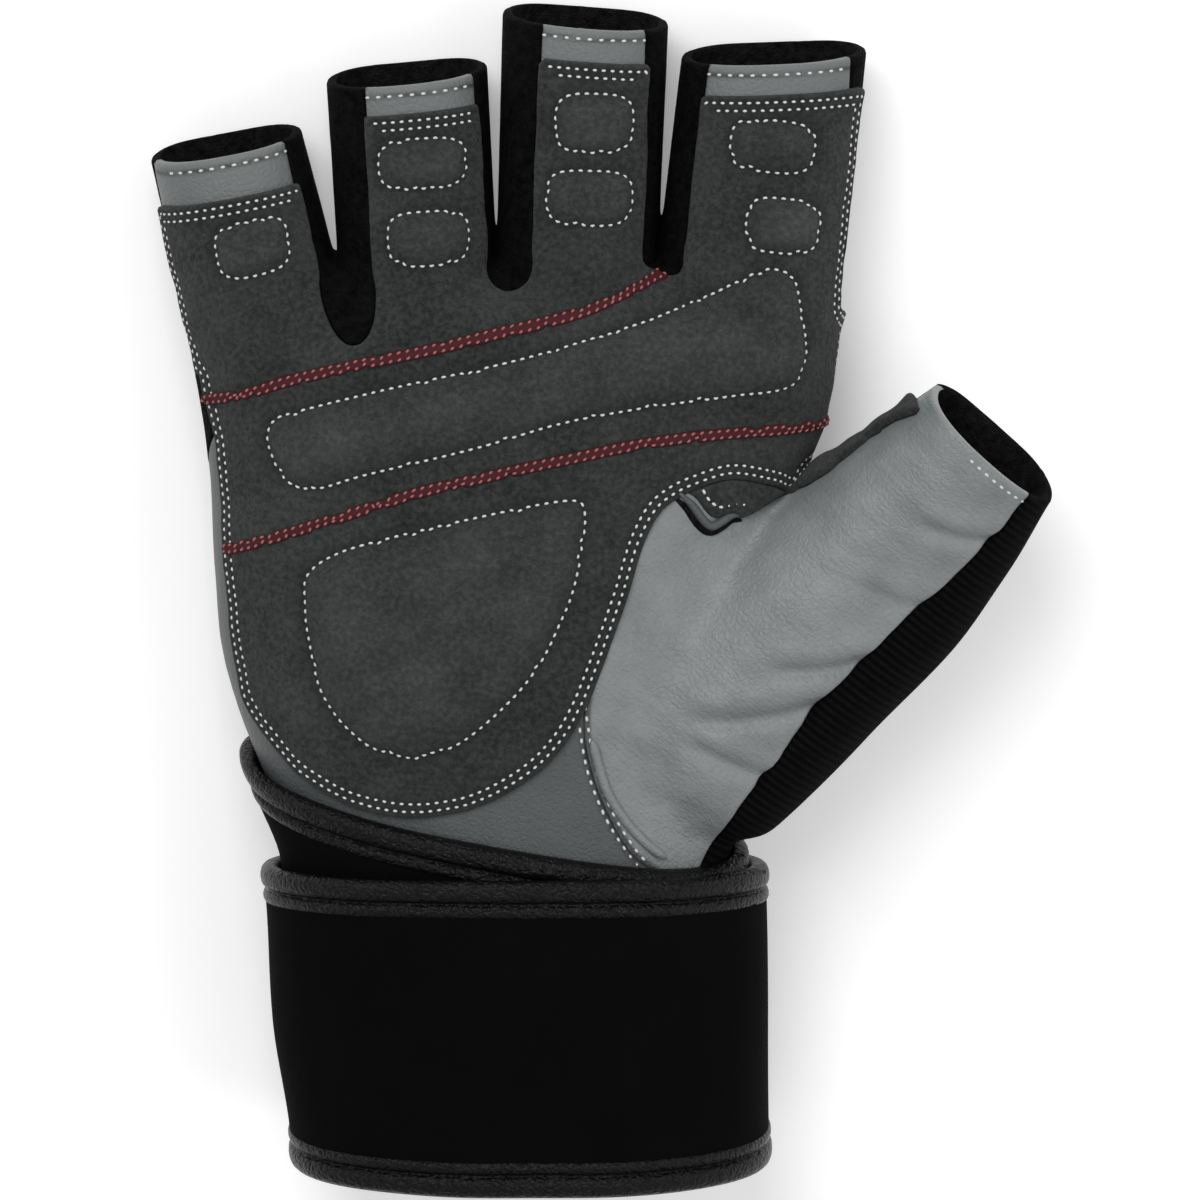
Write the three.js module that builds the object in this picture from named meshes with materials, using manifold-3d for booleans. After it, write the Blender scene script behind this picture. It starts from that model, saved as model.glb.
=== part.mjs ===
// A fingerless weightlifting glove for the right hand, with its wrist wrap fastened.
// It lies on its back, palm up: +X is the thumb side, +Y the fingers, +Z out of the palm.
// Lengths are millimetres. Y starts at the lower edge of the wrist wrap until the last step.
import * as THREE from "three";
import { mergeVertices } from "three/addons/utils/BufferGeometryUtils.js";
import Module from "manifold-3d";

const wasm = await Module();
wasm.setup();

// Hand sizes
const PALM_WIDTH = 105;
const HAND_LENGTH = 160; // lower edge of the wrap to the fork of the middle fingers
const PALM_THICKNESS = 44;
const STALL_LENGTH = 38; // the longest finger stall, from its fork to its opening
const THUMB_LENGTH = 77.5;
const THUMB_WIDTH = 40;
const THUMB_SPLAY = 41.7; // degrees from +Y towards +X

// Material sizes
const GAP = 0.3; // clearance between neighbouring pieces
const WALL = 1.6; // leather and knit of the glove's body
const SUEDE = 1.2;
const PAD_RISE = 1.8;
const SEAM_WIDTH = 2.1;
const SEAM_RISE = 0.7;
const PIPING_WIDTH = 2.2;
const PIPING_RISE = 1.6;
const PIPING_ASIDE = { across: 0.025, along: 0.008 }; // from the thumb's seam, in shares as in the outlines
const WEB_DROP = 6; // the strip over the thumb's web reaches this far below the thumb's seam
const WRAP = 2.4; // neoprene of the wrist wrap
const BINDING_WIDTH = 6.2;
const BINDING_PROUD = 0.5; // the binding stands out from the neoprene
const TAB_THICKNESS = 2;
const TAB_WIDTH = 58;
const TAB_MARGIN = 2; // between the closure tab and the wrap's two bindings
const TURN_ONE = { inner: GAP, outer: GAP + WRAP }; // distances out from the glove's body
const TURN_TWO = {
  inner: TURN_ONE.outer + BINDING_PROUD + GAP,
  outer: TURN_ONE.outer + BINDING_PROUD + GAP + WRAP,
};
const WRIST_LIFT = TURN_TWO.outer + GAP + TAB_THICKNESS; // the wrap and its tab lie under the wrist

// Places along the hand
const BODY_EDGE = 48; // the glove's body ends here, under the wrap
const WRAP_LENGTH = 52; // the second turn, at the side of the wrist
const WRAP_TOP_RISE = 0.11; // its upper edge runs this much further up the palm for each mm of height
const TURN_EDGE = 68; // the first turn's upper edge, at the middle of the back
const TURN_SLANT = -0.209; // its fall for each mm towards the thumb
const TURN_DIP = -0.16; // its fall for each mm towards the palm's surface
const BAND_DEPTH = 6; // bare leather between a stall's opening and the suede
const TAB_ROOT = 0.5; // a suede tab starts this share of its stall's reach below the fork
const SIDE_SEAM_HEIGHT = 0.35; // share of the thickness, at the middle of the hand
const SIDE_SEAM_PLACE = 0.72; // where it has that height, as a share of the hand length
const SIDE_SEAM_RISE = 0.03; // the seam climbs this much for each mm towards the fingers
const FORK_DEPTH = 0.2; // the knit strips between the stalls end here, as a share of the thickness
const THUMB_SEAM_HEIGHT = 0.55; // the same share for the thumb's seam on the fingers' side, at its root
const THUMB_SEAM_RISE = 0.13; // this seam climbs this much for each mm along the thumb

const HALF = PALM_WIDTH / 2;
const FAR = 2 * HAND_LENGTH; // reaches past every piece
const RUN_OUT = 8; // the hollow runs on past each opening

// Cross-sections of the palm and wrist. at: share of the hand length; left and right: shares of half
// the palm's width; top: share of its thickness; under: share of the wrist's lift.
const PALM_SECTIONS = [
  { at: -0.06, left: -0.61, right: 0.725, top: 0.98, under: 1.0 },
  { at: 0.0, left: -0.617, right: 0.724, top: 0.98, under: 1.0 },
  { at: 0.16, left: -0.68, right: 0.72, top: 0.98, under: 1.0 },
  { at: 0.335, left: -0.705, right: 0.707, top: 0.99, under: 1.0 },
  { at: 0.41, left: -0.785, right: 0.73, top: 1.0, under: 0.75 },
  { at: 0.5, left: -0.9, right: 0.78, top: 1.0, under: 0.28 },
  { at: 0.6, left: -0.965, right: 0.84, top: 0.96, under: 0.0 },
  { at: 0.72, left: -0.98, right: 0.895, top: 0.89, under: 0.0 },
  { at: 0.8, left: -1.005, right: 0.985, top: 0.84, under: 0.0 },
  { at: 0.875, left: -1.04, right: 1.03, top: 0.79, under: 0.0 },
  { at: 0.94, left: -1.05, right: 1.03, top: 0.7, under: 0.0 },
  { at: 0.975, left: -0.98, right: 0.96, top: 0.54, under: 0.45 },
];

// Finger stalls. across and along: middle of the fork line, as shares of half the palm's width and of
// the hand length; splay: degrees away from the thumb; reach: share of the longest stall; root and
// tip: widths as shares of the palm's width; slant: the opening's rise for each mm towards the thumb;
// tabLeft and tabRight: the suede tab's edges as shares of half the stall's width; band: share of the
// band's depth.
const FINGERS = [
  { name: "little", across: -0.823, along: 0.95, splay: 13, reach: 0.634, root: 0.256, tip: 0.248,
    slant: -0.04, tabLeft: -0.95, tabRight: 0.8, band: 1.27 },
  { name: "ring", across: -0.31, along: 0.975, splay: 3, reach: 0.832, root: 0.257, tip: 0.261,
    slant: 0.04, tabLeft: -0.51, tabRight: 0.85, band: 0.88 },
  { name: "middle", across: 0.209, along: 0.994, splay: -2, reach: 1.0, root: 0.262, tip: 0.268,
    slant: -0.04, tabLeft: -0.53, tabRight: 0.755, band: 1.0 },
  { name: "index", across: 0.771, along: 0.975, splay: -6, reach: 0.926, root: 0.302, tip: 0.296,
    slant: 0.14, tabLeft: -0.72, tabRight: 0.97, band: 0.93 },
];
const STALL_LEAN = 0.055; // the openings are set back by this much for each mm of height

// Cross-sections of a stall. at: share of its length beyond the fork; width: share of its own width;
// top and under: shares of the palm's thickness.
const STALL_SECTIONS = [
  { at: -0.75, width: 0.8, top: 0.7, under: 0.04 },
  { at: 0.0, width: 1.0, top: 0.68, under: 0.0 },
  { at: 0.55, width: 1.0, top: 0.6, under: 0.03 },
  { at: 1.0, width: 1.0, top: 0.57, under: 0.07 },
];

// Lowest point of the knit tongue at each fork, as shares of half the palm's width and hand length.
const TONGUES = [
  { across: -0.5, along: 0.9 },
  { across: 0.009, along: 0.954 },
  { across: 0.477, along: 0.967 },
];

// Cross-sections of the thumb, from the ball of the thumb to its opening. at: share of its length;
// width: share of the thumb's width; shift: outwards, share of its width; top and under: shares of
// the palm's thickness.
const THUMB_ROOT = { across: 0.552, along: 0.4375 };
const THUMB_LEAN = 0.17; // the opening is set back by this much for each mm of height
const THUMB_SECTIONS = [
  { at: -0.1, width: 0.5, shift: 0.0, under: 0.3, top: 0.85 },
  { at: 0.03, width: 0.93, shift: 0.0, under: 0.2, top: 0.96 },
  { at: 0.33, width: 1.0, shift: 0.0, under: 0.08, top: 0.99 },
  { at: 0.6, width: 0.97, shift: 0.027, under: 0.17, top: 0.96 },
  { at: 0.8, width: 0.84, shift: 0.026, under: 0.35, top: 0.99 },
  { at: 1.0, width: 0.69, shift: 0.0, under: 0.53, top: 1.04 },
];

// Folds across the thumb's leather. at: share of the thumb's length; depth and breadth in mm.
const THUMB_FOLDS = [
  { at: 0.2, depth: 0.8, breadth: 3 },
  { at: 0.45, depth: 1.1, breadth: 3 },
  { at: 0.68, depth: 0.8, breadth: 2.4 },
];

// Small quilted pads. along: share of the stall's length beyond the fork; half: half its length and
// width in shares of the stall's own width; aside: sideways shift in the same shares.
const FINGER_PADS = [
  { finger: "little", name: "pad_little", along: 0.203, half: 0.189, wide: 0.238, aside: 0.048 },
  { finger: "ring", name: "pad_ring_1", along: 0.47, half: 0.176, wide: 0.27, aside: 0.073 },
  { finger: "ring", name: "pad_ring_2", along: 0.144, half: 0.181, wide: 0.251, aside: 0.086 },
  { finger: "middle", name: "pad_middle_1", along: 0.575, half: 0.197, wide: 0.241, aside: 0.067 },
  { finger: "middle", name: "pad_middle_2", along: 0.248, half: 0.181, wide: 0.259, aside: 0.053 },
  { finger: "index", name: "pad_index_1", along: 0.556, half: 0.156, wide: 0.233, aside: 0.028 },
  { finger: "index", name: "pad_index_2", along: 0.215, half: 0.159, wide: 0.205, aside: 0.122 },
];

// Outlines on the palm: across and along as shares of half the palm's width and the hand length.
const KNUCKLE_PAD = [
  [-0.74, 0.828], [-0.42, 0.858], [-0.021, 0.887], [0.288, 0.914], [0.546, 0.941], [0.773, 0.979],
  [0.856, 0.981], [0.91, 0.965], [0.938, 0.9], [0.929, 0.877], [0.881, 0.851], [0.685, 0.843],
  [0.42, 0.834], [0.159, 0.819], [-0.096, 0.795], [-0.457, 0.765], [-0.609, 0.749], [-0.695, 0.75],
  [-0.749, 0.764], [-0.785, 0.794], [-0.778, 0.813],
];
const HEEL_PAD = [
  [-0.659, 0.663], [-0.567, 0.687], [-0.373, 0.708], [-0.036, 0.734], [0.189, 0.746], [0.24, 0.733],
  [0.233, 0.695], [0.201, 0.646], [0.159, 0.613], [0.094, 0.571], [-0.003, 0.532], [-0.148, 0.491],
  [-0.269, 0.474], [-0.332, 0.471], [-0.474, 0.485], [-0.602, 0.532], [-0.657, 0.593], [-0.667, 0.636],
];
const SUEDE_SIDE = [
  [-0.8, 1.0], [-0.95, 0.93], [-0.99, 0.87], [-0.975, 0.825], [-0.943, 0.774], [-0.928, 0.707],
  [-0.906, 0.612], [-0.884, 0.563], [-0.856, 0.516], [-0.773, 0.478], [-0.692, 0.45], [-0.519, 0.419],
  [-0.367, 0.409], [-0.238, 0.411], [-0.11, 0.421], [0.019, 0.443], [0.125, 0.471], [0.217, 0.514],
  [0.277, 0.559], [0.361, 0.634], [0.42, 0.695], [0.468, 0.726], [0.521, 0.74], [0.589, 0.75],
  [0.698, 0.759], [0.825, 0.748], [0.892, 0.736], [0.98, 0.765], [1.1, 0.82], [1.12, 0.87],
  [1.04, 0.93], [0.9, 1.0],
];
const THUMB_SEAM = [
  [0.462, 0.343], [0.381, 0.367], [0.317, 0.404], [0.261, 0.452], [0.232, 0.503], [0.25, 0.58],
  [0.3, 0.64], [0.365, 0.705], [0.45, 0.75], [0.56, 0.775], [0.7, 0.785], [0.85, 0.775], [0.97, 0.785],
];
const KNIT_EDGE = [
  [0.55, 0.28], [0.621, 0.353], [0.691, 0.391], [0.766, 0.431], [0.847, 0.465], [0.925, 0.503],
  [1.004, 0.536], [1.116, 0.572], [1.235, 0.612], [1.337, 0.643], [1.432, 0.671], [1.548, 0.712],
  [1.632, 0.745], [1.87, 0.83],
];
const WEB_EDGE = [
  [0.528, 0.741], [0.573, 0.717], [0.644, 0.697], [0.737, 0.711], [0.826, 0.722], [0.913, 0.736],
  [1.007, 0.757], [1.117, 0.787], [1.233, 0.82], [1.303, 0.836], [1.25, 0.88], [0.95, 0.85],
  [0.8, 0.78],
];
const RED_UPPER = [
  [-0.996, 0.833], [-0.62, 0.87], [-0.22, 0.899], [0.179, 0.929], [0.339, 0.948], [0.487, 0.966],
];
const RED_LOWER = [
  [-0.898, 0.68], [-0.605, 0.716], [-0.312, 0.749], [-0.098, 0.766], [0.173, 0.785], [0.431, 0.801],
  [0.675, 0.808], [0.976, 0.809],
];

// Turning a closed three.js geometry into a solid, and back
function solid(geometry) {
  const bare = geometry.index ? geometry.toNonIndexed() : geometry.clone();
  bare.deleteAttribute("normal");
  bare.deleteAttribute("uv");
  const merged = mergeVertices(bare, 1e-4);
  return new wasm.Manifold(
    new wasm.Mesh({
      numProp: 3,
      vertProperties: merged.getAttribute("position").array,
      triVerts: new Uint32Array(merged.index.array),
    }),
  );
}

function geometryOf(body) {
  const mesh = body.getMesh();
  const geometry = new THREE.BufferGeometry();
  geometry.setAttribute("position", new THREE.BufferAttribute(mesh.vertProperties, 3));
  geometry.setIndex(new THREE.BufferAttribute(mesh.triVerts, 1));
  geometry.computeVertexNormals();
  return geometry;
}

// One oval ring of points. Its underside is flat, as a soft form is where it rests.
const PALM_SIDES = 24;
const STALL_SIDES = 16;
const WAIST = 0.47; // height of the widest point, as a share of the ring's own height
const ROUNDNESS = 2.35; // 2 is an ellipse, more is squarer
const FLATTENING = 1.14; // the underside reaches this far below the flat before it is cut off

function ring(sides, width, under, top, grow, place) {
  const waist = under + (top - under) * WAIST;
  const points = [];
  for (let i = 0; i < sides; i += 1) {
    const angle = (2 * Math.PI * i) / sides;
    const cos = Math.cos(angle);
    const sin = Math.sin(angle);
    const out = Math.sign(cos) * Math.abs(cos) ** (2 / ROUNDNESS) * (width / 2 + grow);
    const lift = Math.abs(sin) ** (2 / ROUNDNESS);
    const up =
      sin >= 0
        ? waist + lift * (top - waist + grow)
        : Math.max(waist - lift * FLATTENING * (waist - under + grow), under - grow);
    points.push(place(out, up));
  }
  return points;
}

// A closed solid through rings of equal length
function loft(rings) {
  const sides = rings[0].length;
  const points = rings.flat();
  const faces = [];
  for (let r = 0; r < rings.length - 1; r += 1) {
    for (let i = 0; i < sides; i += 1) {
      const a = r * sides + i;
      const b = r * sides + ((i + 1) % sides);
      faces.push(a, a + sides, b, b, a + sides, b + sides);
    }
  }
  const last = (rings.length - 1) * sides;
  for (let i = 1; i < sides - 1; i += 1) {
    faces.push(0, i, i + 1);
    faces.push(last, last + i + 1, last + i);
  }
  const geometry = new THREE.BufferGeometry().setFromPoints(points);
  geometry.setIndex(faces);
  return solid(geometry);
}

// The palm and wrist, grown outwards by an even amount
function palmForm(grow) {
  return loft(
    PALM_SECTIONS.map((s) => {
      const middle = ((s.left + s.right) / 2) * HALF;
      const width = (s.right - s.left) * HALF;
      const endGrow = s === PALM_SECTIONS.at(-1) ? grow : 0;
      return ring(PALM_SIDES, width, s.under * WRIST_LIFT, s.top * PALM_THICKNESS, grow,
        (out, up) => new THREE.Vector3(middle + out, s.at * HAND_LENGTH + endGrow, up));
    }),
  );
}

// A stall's root, direction and length in plan
function stallAxis(finger) {
  const turn = THREE.MathUtils.degToRad(finger.splay);
  return {
    root: new THREE.Vector2(finger.across * HALF, finger.along * HAND_LENGTH),
    ahead: new THREE.Vector2(-Math.sin(turn), Math.cos(turn)),
    side: new THREE.Vector2(Math.cos(turn), Math.sin(turn)),
    reach: finger.reach * STALL_LENGTH,
  };
}

// The point at a distance along a stall and a distance to its right
function onStall(finger, distance, aside) {
  const { root, ahead, side } = stallAxis(finger);
  return root.clone().addScaledVector(ahead, distance).addScaledVector(side, aside);
}

function stallWidth(finger, share) {
  return THREE.MathUtils.lerp(finger.root, finger.tip, Math.max(share, 0)) * PALM_WIDTH;
}

function stallForm(finger, grow, runOut) {
  const { reach } = stallAxis(finger);
  return loft(
    STALL_SECTIONS.map((s) => {
      const extra = s === STALL_SECTIONS.at(-1) ? runOut : 0;
      return ring(STALL_SIDES, stallWidth(finger, s.at) * s.width, s.under * PALM_THICKNESS,
        s.top * PALM_THICKNESS, grow, (out, up) => {
          const middle = ((s.top + s.under) / 2) * PALM_THICKNESS;
          const turned = Math.max(s.at, 0) * (finger.slant * out - STALL_LEAN * (up - middle));
          const p = onStall(finger, s.at * reach + extra + turned, out);
          return new THREE.Vector3(p.x, p.y, up);
        });
    }),
  );
}

function thumbAxis() {
  const turn = THREE.MathUtils.degToRad(THUMB_SPLAY);
  const ahead = new THREE.Vector2(Math.sin(turn), Math.cos(turn));
  return {
    ahead,
    side: new THREE.Vector2(ahead.y, -ahead.x),
    root: new THREE.Vector2(THUMB_ROOT.across * HALF, THUMB_ROOT.along * HAND_LENGTH),
  };
}

function thumbForm(grow, runOut) {
  const { ahead, side, root } = thumbAxis();
  const stations = THUMB_SECTIONS.map((s) => ({ ...s, dip: 0 }));
  for (const fold of THUMB_FOLDS) {
    const half = fold.breadth / THUMB_LENGTH;
    stations.push({ ...thumbSection(fold.at - half), dip: 0 });
    stations.push({ ...thumbSection(fold.at), dip: fold.depth });
    stations.push({ ...thumbSection(fold.at + half), dip: 0 });
  }
  stations.sort((a, b) => a.at - b.at);
  return loft(
    stations.map((s) => {
      const extra = s.at === 1 ? runOut : 0;
      const middle = ((s.top + s.under) / 2) * PALM_THICKNESS;
      return ring(STALL_SIDES, s.width * THUMB_WIDTH, s.under * PALM_THICKNESS,
        s.top * PALM_THICKNESS - s.dip, grow, (out, up) => {
          const lean = -THUMB_LEAN * s.at * (up - middle);
          const p = root
            .clone()
            .addScaledVector(ahead, s.at * THUMB_LENGTH + extra + lean)
            .addScaledVector(side, s.shift * THUMB_WIDTH + out);
          return new THREE.Vector3(p.x, p.y, up);
        });
    }),
  );
}

// The thumb's section at any share of its length, between the rows of its table
function thumbSection(at) {
  const next = THUMB_SECTIONS.findIndex((s) => s.at >= at);
  const a = THUMB_SECTIONS[next - 1];
  const b = THUMB_SECTIONS[next];
  const share = (at - a.at) / (b.at - a.at);
  const mix = (column) => THREE.MathUtils.lerp(a[column], b[column], share);
  return { at, width: mix("width"), shift: mix("shift"), under: mix("under"), top: mix("top") };
}

// The whole filled glove, without its wrap, grown outwards by an even amount
function handForm(grow, runOut) {
  const stalls = FINGERS.map((finger) => stallForm(finger, grow, runOut));
  return stalls.reduce((sum, stall) => sum.add(stall), palmForm(grow).add(thumbForm(grow, runOut)));
}

// An upright prism over an outline in plan
function prism(outline, low = -FAR, high = FAR) {
  const geometry = new THREE.ExtrudeGeometry(new THREE.Shape(outline), {
    depth: high - low,
    bevelEnabled: false,
  });
  geometry.translate(0, 0, low);
  return solid(geometry);
}

// Points given as shares of half the palm's width and the hand length
function placed(rows) {
  return rows.map(([across, along]) => new THREE.Vector2(across * HALF, along * HAND_LENGTH));
}

function smooth(points, closed, perSpan) {
  if (closed) {
    const loop = new THREE.CatmullRomCurve3(
      points.map((p) => new THREE.Vector3(p.x, p.y, 0)),
      true,
      "centripetal",
    );
    return loop.getPoints(points.length * perSpan).slice(1).map((p) => new THREE.Vector2(p.x, p.y));
  }
  return new THREE.SplineCurve(points).getPoints(points.length * perSpan);
}

// A line in plan, moved to its left by a distance
function leftOf(line, distance) {
  return line.map((p, i) => {
    const before = line[Math.max(i - 1, 0)];
    const after = line[Math.min(i + 1, line.length - 1)];
    const along = after.clone().sub(before).normalize();
    return new THREE.Vector2(p.x - along.y * distance, p.y + along.x * distance);
  });
}

// A strip of even width along a line in plan
function strip(rows, width) {
  const line = smooth(placed(rows), false, 2);
  return prism([...leftOf(line, width / 2), ...leftOf(line, -width / 2).reverse()]);
}

// The half of space below a plane through a point
function below(point, normal) {
  const box = new THREE.BoxGeometry(2 * FAR, 2 * FAR, 2 * FAR);
  box.translate(0, -FAR, 0);
  const up = new THREE.Vector3(0, 1, 0);
  box.applyQuaternion(new THREE.Quaternion().setFromUnitVectors(up, normal.clone().normalize()));
  box.translate(point.x, point.y, point.z);
  return solid(box);
}

function layer(inner, outer) {
  return handForm(outer, 0).subtract(handForm(inner, RUN_OUT));
}

const TONGUE_STEPS = 12;
const TONGUE_SQUARENESS = 0.8; // 1 is an ellipse, less is squarer

// The U round one fork: up the facing tab edges of two stalls, and round the tongue between them
function forkOutline(index, grow) {
  const left = FINGERS[index];
  const right = FINGERS[index + 1];
  const tongue = TONGUES[index];
  const edge = (finger, share, column, sign) => {
    const reach = stallAxis(finger).reach;
    return onStall(
      finger,
      share * reach,
      (finger[column] * stallWidth(finger, share)) / 2 + sign * grow,
    );
  };
  const fromLeft = edge(left, 0, "tabRight", -1);
  const fromRight = edge(right, 0, "tabLeft", 1);
  const head = fromLeft.clone().add(fromRight).multiplyScalar(0.5);
  const toRight = fromRight.clone().sub(head);
  const bottom = new THREE.Vector2(tongue.across * HALF, tongue.along * HAND_LENGTH - grow);
  const down = bottom.clone().sub(head);
  const turn = [];
  for (let i = 0; i <= TONGUE_STEPS; i += 1) {
    const angle = (Math.PI * i) / TONGUE_STEPS;
    const sideways = -Math.sign(Math.cos(angle)) * Math.abs(Math.cos(angle)) ** TONGUE_SQUARENESS;
    const drop = Math.sin(angle) ** TONGUE_SQUARENESS;
    turn.push(head.clone().addScaledVector(toRight, sideways).addScaledVector(down, drop));
  }
  const past = 1 + RUN_OUT / STALL_LENGTH;
  return [edge(left, past, "tabRight", -1), ...turn, edge(right, past, "tabLeft", 1)];
}

// Body of the glove: leather palm, knit back, knit strips at the forks, thumb
const bodyCut = below(new THREE.Vector3(0, BODY_EDGE, 0), new THREE.Vector3(0, 1, 0));
const wall = layer(-WALL, 0).subtract(bodyCut);
const seamMiddle = new THREE.Vector3(
  0,
  SIDE_SEAM_PLACE * HAND_LENGTH,
  SIDE_SEAM_HEIGHT * PALM_THICKNESS,
);
const seamNormal = new THREE.Vector3(0, -SIDE_SEAM_RISE, 1);
const lowerSide = below(seamMiddle, seamNormal);
const lowerSideWide = below(seamMiddle.clone().setZ(seamMiddle.z + GAP), seamNormal);

const thumbLine = smooth(placed(THUMB_SEAM), false, 2);
function thumbSide(grow) {
  const start = thumbLine[0];
  const end = thumbLine.at(-1);
  return prism([
    new THREE.Vector2(start.x - grow, start.y - FAR),
    ...leftOf(thumbLine, grow),
    new THREE.Vector2(end.x + HALF, end.y + HALF + grow),
    new THREE.Vector2(FAR, end.y + HALF + grow),
    new THREE.Vector2(FAR, start.y - FAR),
  ]);
}
const thumbWall = wall.intersect(thumbSide(0));
const handWall = wall.subtract(thumbSide(GAP));
const forkDepth = FORK_DEPTH * PALM_THICKNESS;
const forks = TONGUES.map((_, i) => prism(forkOutline(i, 0), forkDepth));
const forksWide = TONGUES.map((_, i) => prism(forkOutline(i, GAP), forkDepth - GAP)).reduce(
  (sum, fork) => sum.add(fork),
);
const upperWall = handWall.subtract(lowerSideWide);

// Thumb: leather on the palm's side of its edge line, knit on the rest
const { root: thumbRoot, ahead: thumbAhead } = thumbAxis();
function thumbUnderside(grow) {
  const height = THUMB_SEAM_HEIGHT * PALM_THICKNESS - grow;
  return below(
    new THREE.Vector3(thumbRoot.x, thumbRoot.y, height),
    new THREE.Vector3(-thumbAhead.x * THUMB_SEAM_RISE, -thumbAhead.y * THUMB_SEAM_RISE, 1),
  );
}
function leatherSide(grow) {
  const line = smooth(placed(KNIT_EDGE), false, 2).map((p) => new THREE.Vector2(p.x + grow, p.y - grow));
  const corners = [new THREE.Vector2(line.at(-1).x, FAR), new THREE.Vector2(-FAR, FAR),
    new THREE.Vector2(-FAR, line[0].y)];
  return prism([...line, ...corners]).subtract(thumbUnderside(grow));
}
const thumbLeather = thumbWall.intersect(leatherSide(0));
const thumbKnit = thumbWall.subtract(leatherSide(GAP));

// The wrap's first turn ends at a slanting edge, which what lies on the palm keeps clear of
const turnNormal = new THREE.Vector3(-TURN_SLANT, 1, -TURN_DIP);
const upperEdge = (drop) => below(new THREE.Vector3(0, TURN_EDGE - drop, 0), turnNormal);

// Suede overlay, its pads and the seams on it
const suedeIn = GAP;
const suedeOut = suedeIn + SUEDE;
const suedeLayer = layer(suedeIn, suedeOut).subtract(lowerSideWide);
function tabPrism(finger, grow) {
  const { reach } = stallAxis(finger);
  const start = -reach * TAB_ROOT;
  const end = reach - finger.band * BAND_DEPTH;
  const half = stallWidth(finger, 0.5) / 2;
  const left = finger.tabLeft * half - grow;
  const right = finger.tabRight * half + grow;
  return prism([
    onStall(finger, start, left),
    onStall(finger, start, right),
    onStall(finger, end + finger.slant * right, right),
    onStall(finger, end + finger.slant * left, left),
  ]);
}
function suedeArea(grow) {
  const side = smooth(placed(SUEDE_SIDE), false, 2);
  const palm = prism(side.map((p) => new THREE.Vector2(p.x + grow, p.y - grow)));
  return FINGERS.reduce((sum, finger) => sum.add(tabPrism(finger, grow)), palm);
}
const suede = suedeLayer
  .intersect(suedeArea(0))
  .subtract(forksWide)
  .subtract(upperEdge(-GAP));

const padLayer = layer(suedeOut + GAP, suedeOut + GAP + PAD_RISE).subtract(lowerSideWide);
const PAD_CORNERS = 16;
const PAD_SQUARENESS = 0.6; // 1 is an ellipse, less is squarer
function stallPad(pad) {
  const finger = FINGERS.find((f) => f.name === pad.finger);
  const width = stallWidth(finger, 0.5);
  const outline = [];
  for (let i = 0; i < PAD_CORNERS; i += 1) {
    const angle = (2 * Math.PI * i) / PAD_CORNERS;
    const square = (value) => Math.sign(value) * Math.abs(value) ** PAD_SQUARENESS;
    outline.push(
      onStall(
        finger,
        pad.along * STALL_LENGTH + square(Math.sin(angle)) * pad.half * width,
        (pad.aside + square(Math.cos(angle)) * pad.wide) * width,
      ),
    );
  }
  return padLayer.intersect(prism(outline));
}

const seamLayer = layer(suedeOut + GAP, suedeOut + GAP + SEAM_RISE).subtract(lowerSideWide);
const redUpper = seamLayer.intersect(strip(RED_UPPER, SEAM_WIDTH));
const redLower = seamLayer.intersect(strip(RED_LOWER, SEAM_WIDTH));

const web = layer(GAP, GAP + SUEDE)
  .intersect(prism(smooth(placed(WEB_EDGE), true, 2)))
  .subtract(thumbUnderside(WEB_DROP))
  .subtract(suedeArea(GAP));

const pipingRows = THUMB_SEAM.slice(1, 5).map(([across, along]) => [
  across + PIPING_ASIDE.across,
  along + PIPING_ASIDE.along,
]);
const piping = layer(GAP, GAP + PIPING_RISE)
  .intersect(strip(pipingRows, PIPING_WIDTH))
  .subtract(lowerSideWide)
  .subtract(upperEdge(-GAP));

// Wrist wrap: two turns of neoprene with bound edges, and the closure's tab under the wrist
function tube(turn, proud) {
  return palmForm(turn.outer + proud).subtract(handForm(turn.inner, RUN_OUT));
}
const wrapNormal = new THREE.Vector3(0, 1, -WRAP_TOP_RISE);
const wrapHeight = WRAP_LENGTH - WRAP_TOP_RISE * (PALM_THICKNESS / 2);
const wrapEdge = (drop) => below(new THREE.Vector3(0, wrapHeight - drop, 0), wrapNormal);
const lowerEdge = (lift) => below(new THREE.Vector3(0, lift, 0), new THREE.Vector3(0, 1, 0));

const innerTurn = tube(TURN_ONE, 0)
  .intersect(upperEdge(BINDING_WIDTH + GAP))
  .subtract(lowerEdge(BINDING_WIDTH / 2));
const innerBinding = tube(TURN_ONE, BINDING_PROUD)
  .intersect(upperEdge(0))
  .subtract(upperEdge(BINDING_WIDTH));
const outerTurn = tube(TURN_TWO, 0)
  .intersect(wrapEdge(BINDING_WIDTH + GAP))
  .subtract(lowerEdge(BINDING_WIDTH + GAP));
const outerTop = tube(TURN_TWO, BINDING_PROUD)
  .intersect(wrapEdge(0))
  .subtract(wrapEdge(BINDING_WIDTH));
const outerBottom = tube(TURN_TWO, BINDING_PROUD)
  .intersect(lowerEdge(BINDING_WIDTH))
  .subtract(lowerEdge(0));

const tab = new THREE.BoxGeometry(
  TAB_WIDTH,
  wrapHeight - 2 * (BINDING_WIDTH + TAB_MARGIN),
  TAB_THICKNESS,
);
tab.translate(0, wrapHeight / 2, TAB_THICKNESS / 2);

// Materials, with the colours of the photographed glove
function finish(colour, roughness) {
  return new THREE.MeshStandardMaterial({ color: colour, roughness, metalness: 0 });
}
const suedeFinish = () => finish(0x3a3e3c, 0.95);
const leatherFinish = () => finish(0x5f6467, 0.5);
const knitFinish = () => finish(0x0c0c0c, 0.9);
const wrapFinish = () => finish(0x0a0a0a, 0.8);
const bindingFinish = () => finish(0x1e1f21, 0.55);
const redFinish = () => finish(0x82232a, 0.6);

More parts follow.
